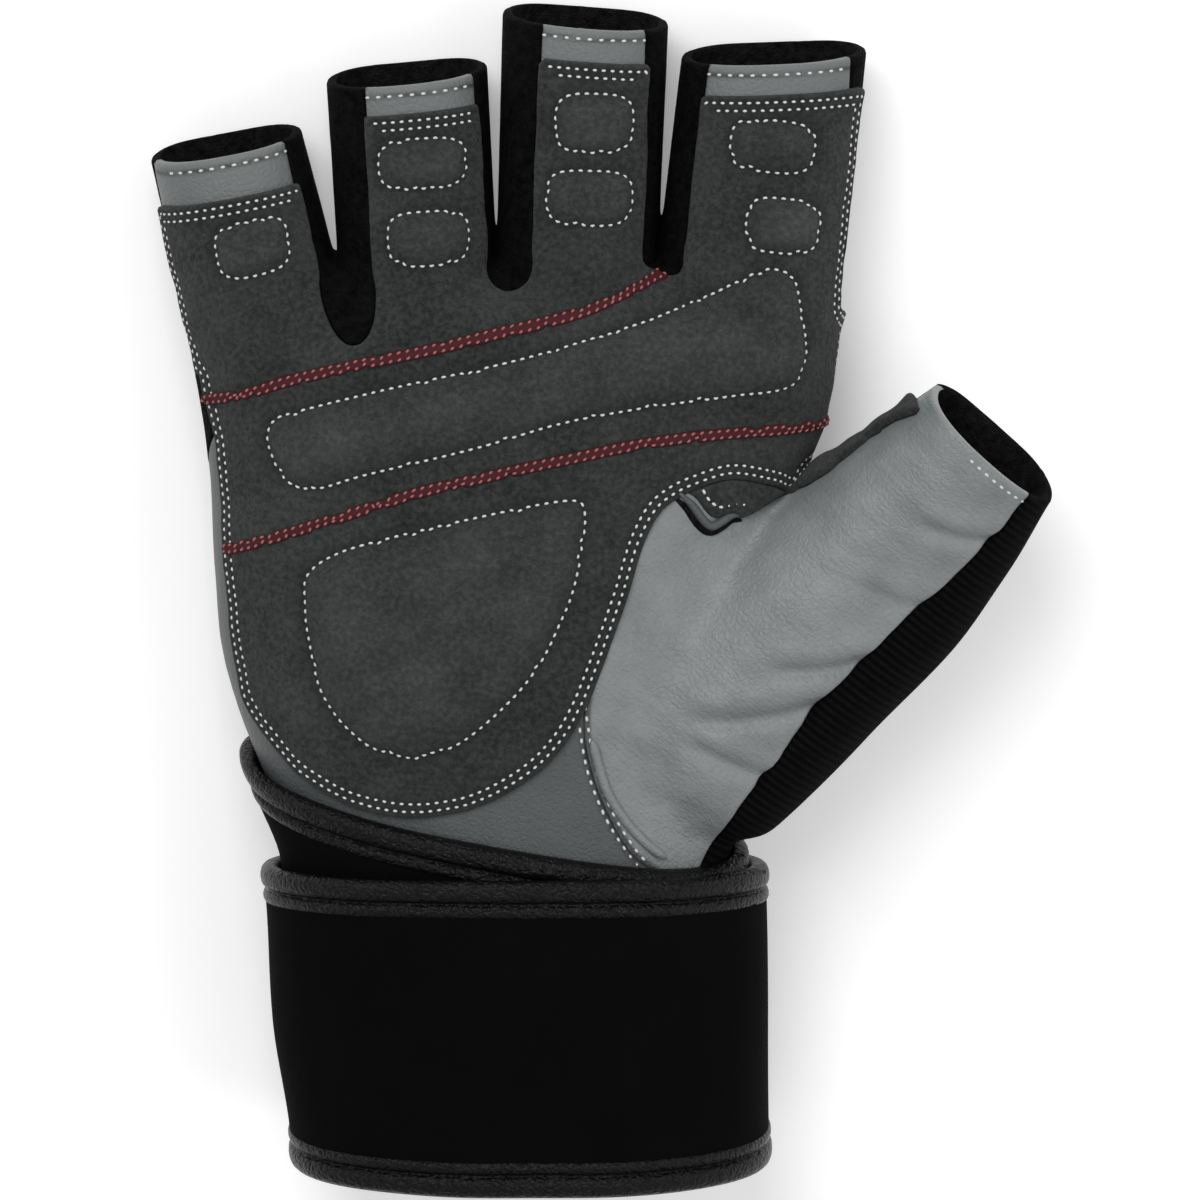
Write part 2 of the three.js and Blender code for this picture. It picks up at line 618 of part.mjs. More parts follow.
const pieces = [
  ["palm_leather", upperWall.subtract(forksWide), leatherFinish()],
  ["back_panel", handWall.intersect(lowerSide).subtract(forksWide), knitFinish()],
  ...forks.map((fork, i) => [`fourchette_${i + 1}`, handWall.intersect(fork), knitFinish()]),
  ["thumb_leather", thumbLeather, leatherFinish()],
  ["thumb_knit", thumbKnit, knitFinish()],
  ["suede_overlay", suede, suedeFinish()],
  ["thumb_web", web, suedeFinish()],
  ["thumb_piping", piping, leatherFinish()],
  ...FINGER_PADS.map((pad) => [pad.name, stallPad(pad), suedeFinish()]),
  ["pad_knuckle", padLayer.intersect(prism(smooth(placed(KNUCKLE_PAD), true, 2))), suedeFinish()],
  ["pad_heel", padLayer.intersect(prism(smooth(placed(HEEL_PAD), true, 2))), suedeFinish()],
  ["red_seam_upper", redUpper, redFinish()],
  ["red_seam_lower", redLower, redFinish()],
  ["wrap_inner", innerTurn, wrapFinish()],
  ["wrap_inner_binding", innerBinding, bindingFinish()],
  ["wrap_outer", outerTurn, wrapFinish()],
  ["wrap_outer_binding_top", outerTop, bindingFinish()],
  ["wrap_outer_binding_bottom", outerBottom, bindingFinish()],
  ["wrap_tab", solid(tab), wrapFinish()],
];

const glove = new THREE.Group();
for (const [name, body, material] of pieces) {
  const mesh = new THREE.Mesh(geometryOf(body), material);
  mesh.name = name;
  glove.add(mesh);
}

// The origin is the middle of the underside
const box = new THREE.Box3().setFromObject(glove);
const middle = box.getCenter(new THREE.Vector3());
glove.position.set(-middle.x, -middle.y, -box.min.z);

export default glove;
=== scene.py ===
# %% [markdown]
# # A weightlifting glove, palm up
# The real glove is a fingerless one for the right hand. A knit back and a leather palm are sewn into a
# hand-shaped bag, dark suede with padded spots covers the palm, and a neoprene wrap winds twice round
# the wrist. This lesson builds it in the form that it has when a hand fills it. The CAD solids of the
# same glove are the frame: every piece made here stands for one of them and stays in its place.

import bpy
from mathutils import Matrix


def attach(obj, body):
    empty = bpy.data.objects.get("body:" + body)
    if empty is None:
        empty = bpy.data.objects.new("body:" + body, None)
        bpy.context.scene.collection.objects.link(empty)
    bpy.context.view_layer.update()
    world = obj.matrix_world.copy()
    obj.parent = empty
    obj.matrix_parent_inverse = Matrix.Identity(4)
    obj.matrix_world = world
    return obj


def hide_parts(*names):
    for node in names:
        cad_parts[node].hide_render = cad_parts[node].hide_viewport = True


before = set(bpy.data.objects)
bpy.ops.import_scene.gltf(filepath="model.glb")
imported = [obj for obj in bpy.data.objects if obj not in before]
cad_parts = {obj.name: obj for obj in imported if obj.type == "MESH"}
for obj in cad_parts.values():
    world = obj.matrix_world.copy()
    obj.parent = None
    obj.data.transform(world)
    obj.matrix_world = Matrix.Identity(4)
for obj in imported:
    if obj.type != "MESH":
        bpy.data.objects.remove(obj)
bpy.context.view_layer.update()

# %% The tools of this lesson
import math

import bpy
import numpy as np
from mathutils import Vector
from mathutils.bvhtree import BVHTree
from mathutils.kdtree import KDTree

# %% [markdown]
# ## The camera
# The photo looks down on the palm from 12 degrees off the vertical, leaning towards the fingertips, so
# that the finger openings just show. A long lens from more than a metre away keeps the hand's outline
# nearly free of perspective, as a catalogue photo does.

# %% Camera
TILT = math.radians(12)
DISTANCE = 1.2
TARGET = Vector((0.0, -0.0002, 0.025))
camera = bpy.data.objects.new("camera", bpy.data.cameras.new("camera"))
camera.data.sensor_width = 36
camera.data.lens = 211.8
camera.data.clip_end = 10
camera.location = TARGET + DISTANCE * Vector((0, math.sin(TILT), math.cos(TILT)))
camera.rotation_euler = (-TILT, 0, 0)
bpy.context.scene.collection.objects.link(camera)
bpy.context.scene.camera = camera
print("camera at", tuple(round(v, 3) for v in camera.location))

# %% [markdown]
# ## The glove's sizes
# All shapes below are worked out in millimetres in the hand's own place, with X towards the thumb, Y
# from the lower edge of the wrist wrap to the fingertips, and Z out of the palm. The tables follow those of
# the CAD solids, apart from small changes: suede and pads are a tenth of a millimetre thicker, and one tab,
# the web and the wrap's edges differ a little. Only the last step of each piece turns millimetres into
# metres and shifts it into the frame.

# %% Driving sizes
PALM_WIDTH = 105.0
HALF = PALM_WIDTH / 2
HAND_LENGTH = 160.0
PALM_THICKNESS = 44.0
STALL_LENGTH = 38.0
THUMB_LENGTH = 77.5
THUMB_WIDTH = 40.0
THUMB_SPLAY = 41.7
THUMB_LEAN = 0.17
STALL_LEAN = 0.055
WRIST_LIFT = 8.2
WALL = 1.6
SUEDE = 1.3
PAD_RISE = 1.9
BODY_EDGE = 48.0
BAND_DEPTH = 6.0
WAIST, ROUNDNESS, FLATTENING = 0.47, 2.35, 1.14
ORIGIN = np.array([14.74, 99.16, 0.0])  # the frame's origin in these millimetres

# %% Cross-sections of the hand
# share of the length, left, right, top, underside
PALM_SECTIONS = np.array([
    [-0.06, -0.61, 0.725, 0.98, 1.0],
    [0.0, -0.617, 0.724, 0.98, 1.0],
    [0.16, -0.68, 0.72, 0.98, 1.0],
    [0.335, -0.705, 0.707, 0.99, 1.0],
    [0.41, -0.785, 0.73, 1.0, 0.75],
    [0.5, -0.9, 0.78, 1.0, 0.28],
    [0.6, -0.965, 0.84, 0.96, 0.0],
    [0.72, -0.98, 0.895, 0.89, 0.0],
    [0.8, -1.005, 0.985, 0.84, 0.0],
    [0.875, -1.04, 1.03, 0.79, 0.0],
    [0.94, -1.05, 1.03, 0.7, 0.0],
    [0.975, -0.98, 0.96, 0.54, 0.45],
])
FINGERS = {
    "little": dict(across=-0.823, along=0.95, splay=13, reach=0.634, root=0.256, tip=0.248,
                   slant=-0.04, tab=(-0.95, 0.8), band=1.27),
    "ring": dict(across=-0.31, along=0.975, splay=3, reach=0.832, root=0.257, tip=0.261,
                 slant=0.04, tab=(-0.51, 0.85), band=0.88),
    "middle": dict(across=0.209, along=0.994, splay=-2, reach=1.0, root=0.262, tip=0.268,
                   slant=-0.04, tab=(-0.53, 0.755), band=1.0),
    "index": dict(across=0.771, along=0.975, splay=-6, reach=0.926, root=0.302, tip=0.296,
                  slant=0.14, tab=(-0.72, 0.93), band=0.93),
}
# share of the stall, width, top, underside
STALL_SECTIONS = np.array([
    [-0.75, 0.8, 0.7, 0.04],
    [0.0, 1.0, 0.68, 0.0],
    [0.55, 1.0, 0.6, 0.03],
    [1.0, 1.0, 0.57, 0.07],
])
THUMB_ROOT = np.array([0.552 * HALF, 0.4375 * HAND_LENGTH])
# share of the thumb, width, shift, underside, top
THUMB_SECTIONS = np.array([
    [-0.1, 0.5, 0.0, 0.3, 0.85],
    [0.03, 0.93, 0.0, 0.2, 0.96],
    [0.33, 1.0, 0.0, 0.08, 0.99],
    [0.6, 0.97, 0.027, 0.17, 0.96],
    [0.8, 0.84, 0.026, 0.35, 0.99],
    [1.0, 0.69, 0.0, 0.53, 1.04],
])
print("stalls:", ", ".join(f"{n} {d['reach'] * STALL_LENGTH:.0f} mm" for n, d in FINGERS.items()))

# %% [markdown]
# ## One skin for the whole hand
# The glove's body is a bag with six branches. Building it as one surface lets every panel be a region of
# the same skin, so neighbours meet exactly. Each branch starts as a closed tube through its table of
# cross-sections. A voxel remesh then melts the tubes together, and a few rounds of averaging round off
# the creases, as stretched leather does at the root of a finger.

# %% Smooth columns and oval rings
def unit(vectors):
    """Each row at length one."""
    return vectors / np.maximum(np.linalg.norm(vectors, axis=-1), 1e-12)[..., None]


def ease(t):
    """From 0 to 1 with soft ends."""
    t = np.clip(t, 0, 1)
    return t * t * (3 - 2 * t)


def fair(at, values, t):
    """A smooth line through a table's column that never swings past its rows."""
    gap, t = np.diff(at), np.asarray(t, float)
    rise = np.diff(values) / gap
    slope = np.zeros(len(at))
    steady = rise[:-1] * rise[1:] > 0
    total = np.where(steady, rise[:-1] + rise[1:], 1.0)
    slope[1:-1] = np.where(steady, 2 * rise[:-1] * rise[1:] / total, 0.0)
    slope[0], slope[-1] = rise[0], rise[-1]
    k = np.clip(np.searchsorted(at, t) - 1, 0, len(gap) - 1)
    s = np.clip((t - at[k]) / gap[k], 0, 1)
    return (
        (1 + 2 * s) * (1 - s) ** 2 * values[k]
        + s * (1 - s) ** 2 * gap[k] * slope[k]
        + s**2 * (3 - 2 * s) * values[k + 1]
        - s**2 * (1 - s) * gap[k] * slope[k + 1]
    )


def oval(angle, width, under, top, grow=0.0):
    """Offsets sideways and heights of a rounded section with a flattened underside."""
    waist = under + (top - under) * WAIST
    cos, sin = np.cos(angle), np.sin(angle)
    out = np.sign(cos) * np.abs(cos) ** (2 / ROUNDNESS) * (width / 2 + grow)
    lift = np.abs(sin) ** (2 / ROUNDNESS)
    high = waist + lift * (top - waist + grow)
    low = np.maximum(waist - lift * FLATTENING * (waist - under + grow), under - grow)
    return out, np.where(sin >= 0, high, low)


# %% Closed tubes through rings
def closed_tube(rings):
    """Points and faces of a closed tube through rings of equal length."""
    count, sides = rings.shape[:2]
    r, i = (g.ravel() for g in np.meshgrid(np.arange(count - 1), np.arange(sides), indexing="ij"))
    a, b = r * sides + i, r * sides + (i + 1) % sides
    points = np.concatenate([rings.reshape(-1, 3), rings[0].mean(0)[None], rings[-1].mean(0)[None]])
    faces = np.stack([a, a + sides, b + sides, b], 1).tolist()
    first, last = count * sides, count * sides + 1
    edge = (count - 1) * sides
    faces += [[first, k, (k + 1) % sides] for k in range(sides)]
    faces += [[last, edge + (k + 1) % sides, edge + k] for k in range(sides)]
    return points, faces


SIDES = 96
TURN = np.arange(SIDES) * 2 * math.pi / SIDES


def palm_section(y, angle, grow=0.0):
    """Points of the palm and wrist at a place along the hand, grown outwards."""
    at, left, right, top, under = PALM_SECTIONS.T
    share = y / HAND_LENGTH
    l, r = fair(at, left, share) * HALF, fair(at, right, share) * HALF
    out, up = oval(angle, r - l, fair(at, under, share) * WRIST_LIFT,
                   fair(at, top, share) * PALM_THICKNESS, grow)
    return np.stack([(l + r) / 2 + out, y + 0 * out, up], -1)


def stall_axis(finger):
    turn = math.radians(finger["splay"])
    root = np.array([finger["across"] * HALF, finger["along"] * HAND_LENGTH])
    ahead = np.array([-math.sin(turn), math.cos(turn)])
    return root, ahead, np.array([ahead[1], -ahead[0]]), finger["reach"] * STALL_LENGTH


def stall_width(finger, share):
    return (finger["root"] + (finger["tip"] - finger["root"]) * np.clip(share, 0, 1)) * PALM_WIDTH


# %% The six branches
def palm_rings():
    places = np.linspace(PALM_SECTIONS[0, 0], PALM_SECTIONS[-1, 0], 150) * HAND_LENGTH
    return np.stack([palm_section(np.full(SIDES, y), TURN) for y in places])


def stall_rings(finger):
    root, ahead, side, reach = stall_axis(finger)
    at, width, top, under = STALL_SECTIONS.T
    rings = []
    for along in np.arange(-0.75 * reach, reach + 6.5, 1.0):
        share = along / reach
        out, up = oval(TURN, stall_width(finger, share) * fair(at, width, share),
                       fair(at, under, share) * PALM_THICKNESS, fair(at, top, share) * PALM_THICKNESS)
        middle = (fair(at, under, share) + fair(at, top, share)) / 2 * PALM_THICKNESS
        turned = np.clip(share, 0, 1) * (finger["slant"] * out - STALL_LEAN * (up - middle))
        plan = root + (along + turned)[:, None] * ahead + out[:, None] * side
        rings.append(np.column_stack([plan, up]))
    return np.stack(rings)


def thumb_axis():
    turn = math.radians(THUMB_SPLAY)
    ahead = np.array([math.sin(turn), math.cos(turn)])
    return ahead, np.array([ahead[1], -ahead[0]])


def thumb_rings():
    ahead, side = thumb_axis()
    at, width, shift, under, top = THUMB_SECTIONS.T
    rings = []
    for along in np.arange(-0.1 * THUMB_LENGTH, THUMB_LENGTH + 6.5, 1.0):
        share = min(along / THUMB_LENGTH, 1.0)
        low, high = fair(at, under, share) * PALM_THICKNESS, fair(at, top, share) * PALM_THICKNESS
        out, up = oval(TURN, fair(at, width, share) * THUMB_WIDTH, low, high)
        set_back = -THUMB_LEAN * share * (up - (low + high) / 2)
        plan = THUMB_ROOT + (along + set_back)[:, None] * ahead
        plan = plan + (fair(at, shift, share) * THUMB_WIDTH + out)[:, None] * side
        rings.append(np.column_stack([plan, up]))
    return np.stack(rings)


branches = [palm_rings(), thumb_rings()] + [stall_rings(f) for f in FINGERS.values()]
print("branches:", len(branches), "rings:", sum(len(b) for b in branches))

# %% Melting the branches into one skin
VOXEL = 1.0
SPREAD = np.array([-12.0, -4.0, 4.0, 12.0])  # each finger's shift while the branches melt
FAN_START, FAN_RAMP, FAN_SOFTNESS = 146.0, 10.0, 3.0  # where the shift sets in, and how softly
THUMB_BALL, THUMB_BALL_SIZE = (32.0, 97.0, 42.0), (34.0, 36.0, 22.0)
ROUNDS_FANNED, ROUNDS_FOLDED, ROUNDS_BALL = 5, 3, 73  # rounds of averaging


def all_pairs(faces):
    return np.concatenate([faces[:, [0, 1]], faces[:, [1, 2]], faces[:, [2, 0]]])


def edges_of(faces):
    return np.unique(np.sort(all_pairs(faces), 1), axis=0)


def relax(points, edges, rounds, share=0.5):
    """Moves each point, or value, towards the mean of its neighbours."""
    flat = points.reshape(len(points), -1)
    a, b = edges.T
    count = np.maximum(np.bincount(edges.ravel(), minlength=len(flat)), 1)
    for _ in range(rounds):
        mean = np.stack([
            np.bincount(a, flat[b, c], len(flat)) + np.bincount(b, flat[a, c], len(flat))
            for c in range(flat.shape[1])
        ], 1) / count[:, None]
        flat = flat + share * (mean - flat)
    return flat.reshape(points.shape)


def melt(branches):
    points, faces, start = [], [], 0
    for rings in branches:
        p, f = closed_tube(rings)
        points.append(p)
        faces += [[v + start for v in face] for face in f]
        start += len(p)
    mesh = bpy.data.meshes.new("branches")
    mesh.from_pydata(np.concatenate(points).tolist(), [], faces)
    obj = bpy.data.objects.new("branches", mesh)
    bpy.context.scene.collection.objects.link(obj)
    remesh = obj.modifiers.new("melt", "REMESH")
    remesh.mode, remesh.voxel_size = "VOXEL", VOXEL
    skin = obj.evaluated_get(bpy.context.evaluated_depsgraph_get()).to_mesh()
    skin.calc_loop_triangles()
    points = np.zeros(len(skin.vertices) * 3)
    skin.vertices.foreach_get("co", points)
    faces = np.zeros(len(skin.loop_triangles) * 3, np.int32)
    skin.loop_triangles.foreach_get("vertices", faces)
    bpy.data.objects.remove(obj)
    bpy.data.meshes.remove(mesh)
    return points.reshape(-1, 3), faces.reshape(-1, 3)


def between_stalls(y):
    """X of the three lines midway between neighbouring stalls, at these Y."""
    lines = []
    fingers = list(FINGERS.values())
    for left, right in zip(fingers[:-1], fingers[1:]):
        root_l, ahead_l, side_l, _ = stall_axis(left)
        root_r, ahead_r, side_r, _ = stall_axis(right)
        edge_l = root_l + side_l * stall_width(left, 0) / 2
        edge_r = root_r - side_r * stall_width(right, 0) / 2
        middle, way = (edge_l + edge_r) / 2, ahead_l + ahead_r
        lines.append(middle[0] + (y - middle[1]) * way[0] / way[1])
    return lines


def fanned(x, y):
    """X with the fingers fanned out, so that the slits between them stay open in the melt."""
    shift = np.full(len(x), SPREAD[0])
    for step, line in zip(np.diff(SPREAD), between_stalls(y)):
        shift = shift + step * ease((x - line) / FAN_SOFTNESS + 0.5)
    return x + ease((y - FAN_START) / FAN_RAMP) * shift


def folded_back(x, y):
    """The X that fanned() moved to this place, found by halving."""
    low, high = x - 16.0, x + 16.0
    for _ in range(24):
        middle = (low + high) / 2
        over = fanned(middle, y) > x
        low, high = np.where(over, low, middle), np.where(over, middle, high)
    return (low + high) / 2


for rings in branches:
    flat = rings.reshape(-1, 3)
    flat[:, 0] = fanned(flat[:, 0], flat[:, 1])
hand_points, hand_faces = melt(branches)
hand_edges = edges_of(hand_faces)
hand_points = relax(hand_points, hand_edges, ROUNDS_FANNED)
hand_points[:, 0] = folded_back(hand_points[:, 0], hand_points[:, 1])
hand_points = relax(hand_points, hand_edges, ROUNDS_FOLDED)
ball = (hand_points - THUMB_BALL) / THUMB_BALL_SIZE
softness = np.clip(1.5 - 1.5 * np.linalg.norm(ball, axis=1), 0, 1)[:, None]
hand_points = hand_points + softness * (relax(hand_points, hand_edges, ROUNDS_BALL) - hand_points)
print("hand skin:", len(hand_points), "points,", len(hand_faces), "triangles")

# %% [markdown]
# ## Cutting the skin into panels
# A pattern cutter draws a panel's outline on the leather. Here an outline is a value at every point of
# the skin: the distance to the line, positive inside. Cutting means splitting each triangle where that
# value passes zero, which gives clean edges at any angle. The same trick, with other distances, later
# finds the lines that the stitches follow.

# %% A skin with values, and how to cut it
class Skin:
    """Triangles in space with named values at each point."""

    def __init__(self, points, faces, values=None):
        self.points, self.faces, self.values = points, faces, dict(values or {})

    def part(self, chosen):
        """The skin made of the chosen faces alone."""
        used, faces = np.unique(self.faces[chosen], return_inverse=True)
        return Skin(self.points[used], faces.reshape(-1, 3), {k: v[used] for k, v in self.values.items()})

    def inside(self, name):
        """The part whose faces lie wholly inside the outline of this name."""
        return self.part((self.values[name][self.faces] > -0.02).all(1))

    def twice(self, names):
        """These values for both faces of a shell, as title: array."""
        pairs = names.items() if isinstance(names, dict) else ((k, k) for k in names)
        return {title: np.concatenate([self.values[k]] * 2) for title, k in pairs}

    def edges(self):
        return edges_of(self.faces)


def split(skin, field, level=0.0):
    """The skin with every triangle split where the field passes the level."""
    f = field - level
    sign = np.where(np.abs(f) < 0.04, 0, np.sign(f)).astype(int)
    s = sign[skin.faces]
    mixed = (s.min(1) < 0) & (s.max(1) > 0)
    if not mixed.any():
        return skin, np.where(s.max(1) > 0, 1, -1)
    faces, s = skin.faces[mixed], s[mixed]
    touching = (s == 0).any(1)
    first = np.where(touching, np.argmax(s == 0, 1), np.argmax(s == -s.sum(1)[:, None], 1))
    order = (first[:, None] + np.arange(3)) % 3
    v = np.take_along_axis(faces, order, 1)
    one, two = v[touching], v[~touching]
    pairs = np.sort(np.concatenate([one[:, [1, 2]], two[:, [0, 1]], two[:, [0, 2]]]), 1)
    edges, where = np.unique(pairs, axis=0, return_inverse=True)
    where = where.ravel() + len(skin.points)
    t = f[edges[:, 0]] / (f[edges[:, 0]] - f[edges[:, 1]])

    def mix(a):
        w = t.reshape(-1, *[1] * (a.ndim - 1))
        return np.concatenate([a, a[edges[:, 0]] * (1 - w) + a[edges[:, 1]] * w])

    m, n = len(one), len(two)
    e12, e01, e02 = where[:m], where[m:m + n], where[m + n:]
    new = np.concatenate([
        np.stack([one[:, 0], one[:, 1], e12], 1),
        np.stack([one[:, 0], e12, one[:, 2]], 1),
        np.stack([two[:, 0], e01, e02], 1),
        np.stack([e01, two[:, 1], two[:, 2]], 1),
        np.stack([e01, two[:, 2], e02], 1),
    ])
    out = Skin(mix(skin.points), np.concatenate([skin.faces[~mixed], new]),
               {k: mix(a) for k, a in skin.values.items()})
    all_sign = np.concatenate([sign, np.zeros(len(edges), int)])[out.faces]
    return out, np.where(all_sign.max(1) > 0, 1, -1)


def trim(skin, name, keep=1):
    """The part of the skin where the named value is positive (or negative, with keep=-1)."""
    out, side = split(skin, skin.values[name])
    return out.part(side == keep)


# %% Normals, rims and distances to them
def normals_of(points, faces):
    a, b, c = (points[faces[:, k]] for k in range(3))
    face_normal = np.cross(b - a, c - a)
    total = np.stack([
        sum(np.bincount(faces[:, k], face_normal[:, axis], len(points)) for k in range(3))
        for axis in range(3)
    ], 1)
    return unit(total)


def rim_of(faces):
    """The directed edges that belong to one face only."""
    pairs = all_pairs(faces)
    _, back, count = np.unique(np.sort(pairs, 1), axis=0, return_inverse=True, return_counts=True)
    return pairs[count[back.ravel()] == 1]


def tree_of(points):
    tree = KDTree(len(points))
    for i, p in enumerate(points):
        tree.insert(p, i)
    tree.balance()
    return tree


def distance_to(points, targets):
    """Distance from each point to the nearest target, and which target that is."""
    tree = tree_of(targets)
    found = [tree.find(p)[1:] for p in points]
    return np.array([d for _, d in found]), np.array([i for i, _ in found])


def rim_points(skin):
    """Points along the rim about a third of a millimetre apart."""
    rim = rim_of(skin.faces)
    a, b = skin.points[rim[:, 0]], skin.points[rim[:, 1]]
    shares = np.array([0.0, 1 / 3, 2 / 3])[:, None, None]
    return (a * (1 - shares) + b * shares).reshape(-1, 3)


def finer(skin):
    """Each triangle in four."""
    edges, back = np.unique(np.sort(all_pairs(skin.faces), 1), axis=0, return_inverse=True)
    m = back.reshape(3, -1) + len(skin.points)
    a, b, c = skin.faces.T
    faces = np.concatenate([
        np.stack([a, m[0], m[2]], 1), np.stack([m[0], b, m[1]], 1),
        np.stack([m[2], m[1], c], 1), np.stack([m[0], m[1], m[2]], 1)])

    def mix(v):
        return np.concatenate([v, (v[edges[:, 0]] + v[edges[:, 1]]) / 2])

    return Skin(mix(skin.points), faces, {k: mix(v) for k, v in skin.values.items()})


# %% Outlines in plan
def smooth_line(points, closed=False, step=1.0):
    """An even line through the points, rounded at each."""
    p = np.asarray(points, float)
    if closed:
        p = np.concatenate([p[-1:], p, p[:2]])
    else:
        p = np.concatenate([2 * p[:1] - p[1:2], p, 2 * p[-1:] - p[-2:-1]])
    t = np.linspace(0, 1, 24, endpoint=False)[:, None]
    spans = []
    for a, b, c, d in zip(p[:-3], p[1:-2], p[2:-1], p[3:]):
        spans.append(b + 0.5 * t * (c - a) + t**2 * (a - 2.5 * b + 2 * c - 0.5 * d)
                     + t**3 * (-0.5 * a + 1.5 * b - 1.5 * c + 0.5 * d))
    line = np.concatenate(spans + [p[-2:-1]])
    return resample(line, step)


def resample(line, step):
    lengths = np.concatenate([[0], np.cumsum(np.linalg.norm(np.diff(line, axis=0), axis=1))])
    places = np.linspace(0, lengths[-1], max(int(lengths[-1] / step), 3) + 1)
    return np.stack([np.interp(places, lengths, line[:, k]) for k in range(line.shape[1])], 1)


def placed(rows):
    return np.array(rows) * (HALF, HAND_LENGTH)


def plan_distance(points, line, closed=True):
    """Distance to a line in plan; for a closed line it is positive inside."""
    xy = points[:, :2]
    best, inside = np.full(len(xy), np.inf), np.zeros(len(xy), bool)
    ends = np.roll(line, -1, 0) if closed else line[1:]
    for p, q in zip(line, ends):
        d, w = q - p, xy - p
        t = np.clip(w @ d / max(d @ d, 1e-9), 0, 1)
        best = np.minimum(best, ((w - t[:, None] * d) ** 2).sum(1))
        if closed and abs(d[1]) > 1e-12:
            level = (p[1] > xy[:, 1]) != (q[1] > xy[:, 1])
            inside ^= level & (xy[:, 0] < p[0] + (xy[:, 1] - p[1]) * d[0] / d[1])
    best = np.sqrt(best)
    return np.where(inside, best, -best) if closed else best


# %% [markdown]
# ## The pattern
# These outlines were measured on the photo, as shares of half the palm's width and of the hand's length.
# They give the suede overlay's edge, the pads, the two red seams, the seam round the thumb, and the line
# where the thumb's leather meets its knit.

# %% Outlines of the panels
KNUCKLE_PAD = [[-0.74, 0.828], [-0.42, 0.858], [-0.021, 0.887], [0.288, 0.914], [0.546, 0.941],
               [0.773, 0.979], [0.856, 0.981], [0.91, 0.965], [0.938, 0.9], [0.929, 0.877],
               [0.881, 0.851], [0.685, 0.843], [0.42, 0.834], [0.159, 0.819], [-0.096, 0.795],
               [-0.457, 0.765], [-0.609, 0.749], [-0.695, 0.75], [-0.749, 0.764], [-0.785, 0.794],
               [-0.778, 0.813]]
HEEL_PAD = [[-0.659, 0.663], [-0.567, 0.687], [-0.373, 0.708], [-0.036, 0.734], [0.189, 0.746],
            [0.24, 0.733], [0.233, 0.695], [0.201, 0.646], [0.159, 0.613], [0.094, 0.571],
            [-0.003, 0.532], [-0.148, 0.491], [-0.269, 0.474], [-0.332, 0.471], [-0.474, 0.485],
            [-0.602, 0.532], [-0.657, 0.593], [-0.667, 0.636]]
SUEDE_SIDE = [[-0.8, 1], [-0.95, 0.93], [-0.99, 0.87], [-0.975, 0.825], [-0.943, 0.774], [-0.928, 0.707],
              [-0.906, 0.612], [-0.884, 0.563], [-0.856, 0.516], [-0.773, 0.478], [-0.692, 0.45],
              [-0.519, 0.419], [-0.367, 0.409], [-0.238, 0.411], [-0.11, 0.421], [0.019, 0.443],
              [0.125, 0.471], [0.217, 0.514], [0.277, 0.559], [0.361, 0.634], [0.42, 0.695],
              [0.468, 0.726], [0.521, 0.74], [0.589, 0.75], [0.698, 0.759], [0.825, 0.748],
              [0.892, 0.736], [0.98, 0.765], [1.1, 0.82], [1.12, 0.87], [1.04, 0.93], [0.9, 1]]
THUMB_SEAM = [[0.462, 0.343], [0.381, 0.367], [0.317, 0.404], [0.261, 0.452], [0.232, 0.503],
              [0.25, 0.58], [0.3, 0.64], [0.365, 0.705], [0.45, 0.75], [0.56, 0.775], [0.7, 0.785],
              [0.85, 0.775], [0.97, 0.785]]
KNIT_EDGE = [[0.55, 0.28], [0.621, 0.353], [0.691, 0.391], [0.766, 0.431], [0.847, 0.465],
             [0.925, 0.503], [1.004, 0.536], [1.116, 0.572], [1.235, 0.612], [1.337, 0.643],
             [1.432, 0.671], [1.548, 0.712], [1.632, 0.745], [1.87, 0.83]]
WEB_EDGE = [[0.55, 0.752], [0.585, 0.742], [0.62, 0.725], [0.65, 0.718], [0.69, 0.722], [0.733, 0.716],
            [0.821, 0.727], [0.909, 0.74], [1.003, 0.761], [1.114, 0.791], [1.23, 0.823], [1.3, 0.839],
            [1.24, 0.85], [1.1, 0.86], [0.95, 0.83], [0.8, 0.8], [0.6, 0.78]]
WEB_FOLD = [[0.525, 0.746], [0.566, 0.732], [0.6, 0.716], [0.632, 0.708], [0.665, 0.712], [0.7, 0.718],
            [0.735, 0.717]]
WEB_ROW = [[0.6, 0.752], [0.625, 0.738], [0.66, 0.731], [0.7, 0.733], [0.74, 0.731]]
PIPING = [[0.252, 0.496], [0.277, 0.464], [0.308, 0.433], [0.374, 0.398], [0.455, 0.369], [0.5, 0.358]]
SEAM_ROWS = [[0.218, 0.532], [0.228, 0.507], [0.256, 0.457], [0.313, 0.408], [0.377, 0.372], [0.42, 0.353]]
RED_UPPER = [[-0.996, 0.833], [-0.62, 0.87], [-0.22, 0.899], [0.179, 0.929], [0.339, 0.948],
             [0.487, 0.966]]
RED_LOWER = [[-0.898, 0.68], [-0.605, 0.716], [-0.312, 0.749], [-0.098, 0.766], [0.173, 0.785],
             [0.431, 0.801], [0.675, 0.808], [0.976, 0.809]]
KNIT_CLIMB = 9.0  # the knit reaches this much higher beside the little and the index finger
TONGUES = np.array([[-0.5, 0.9], [0.009, 0.954], [0.477, 0.967]]) * (HALF, HAND_LENGTH)
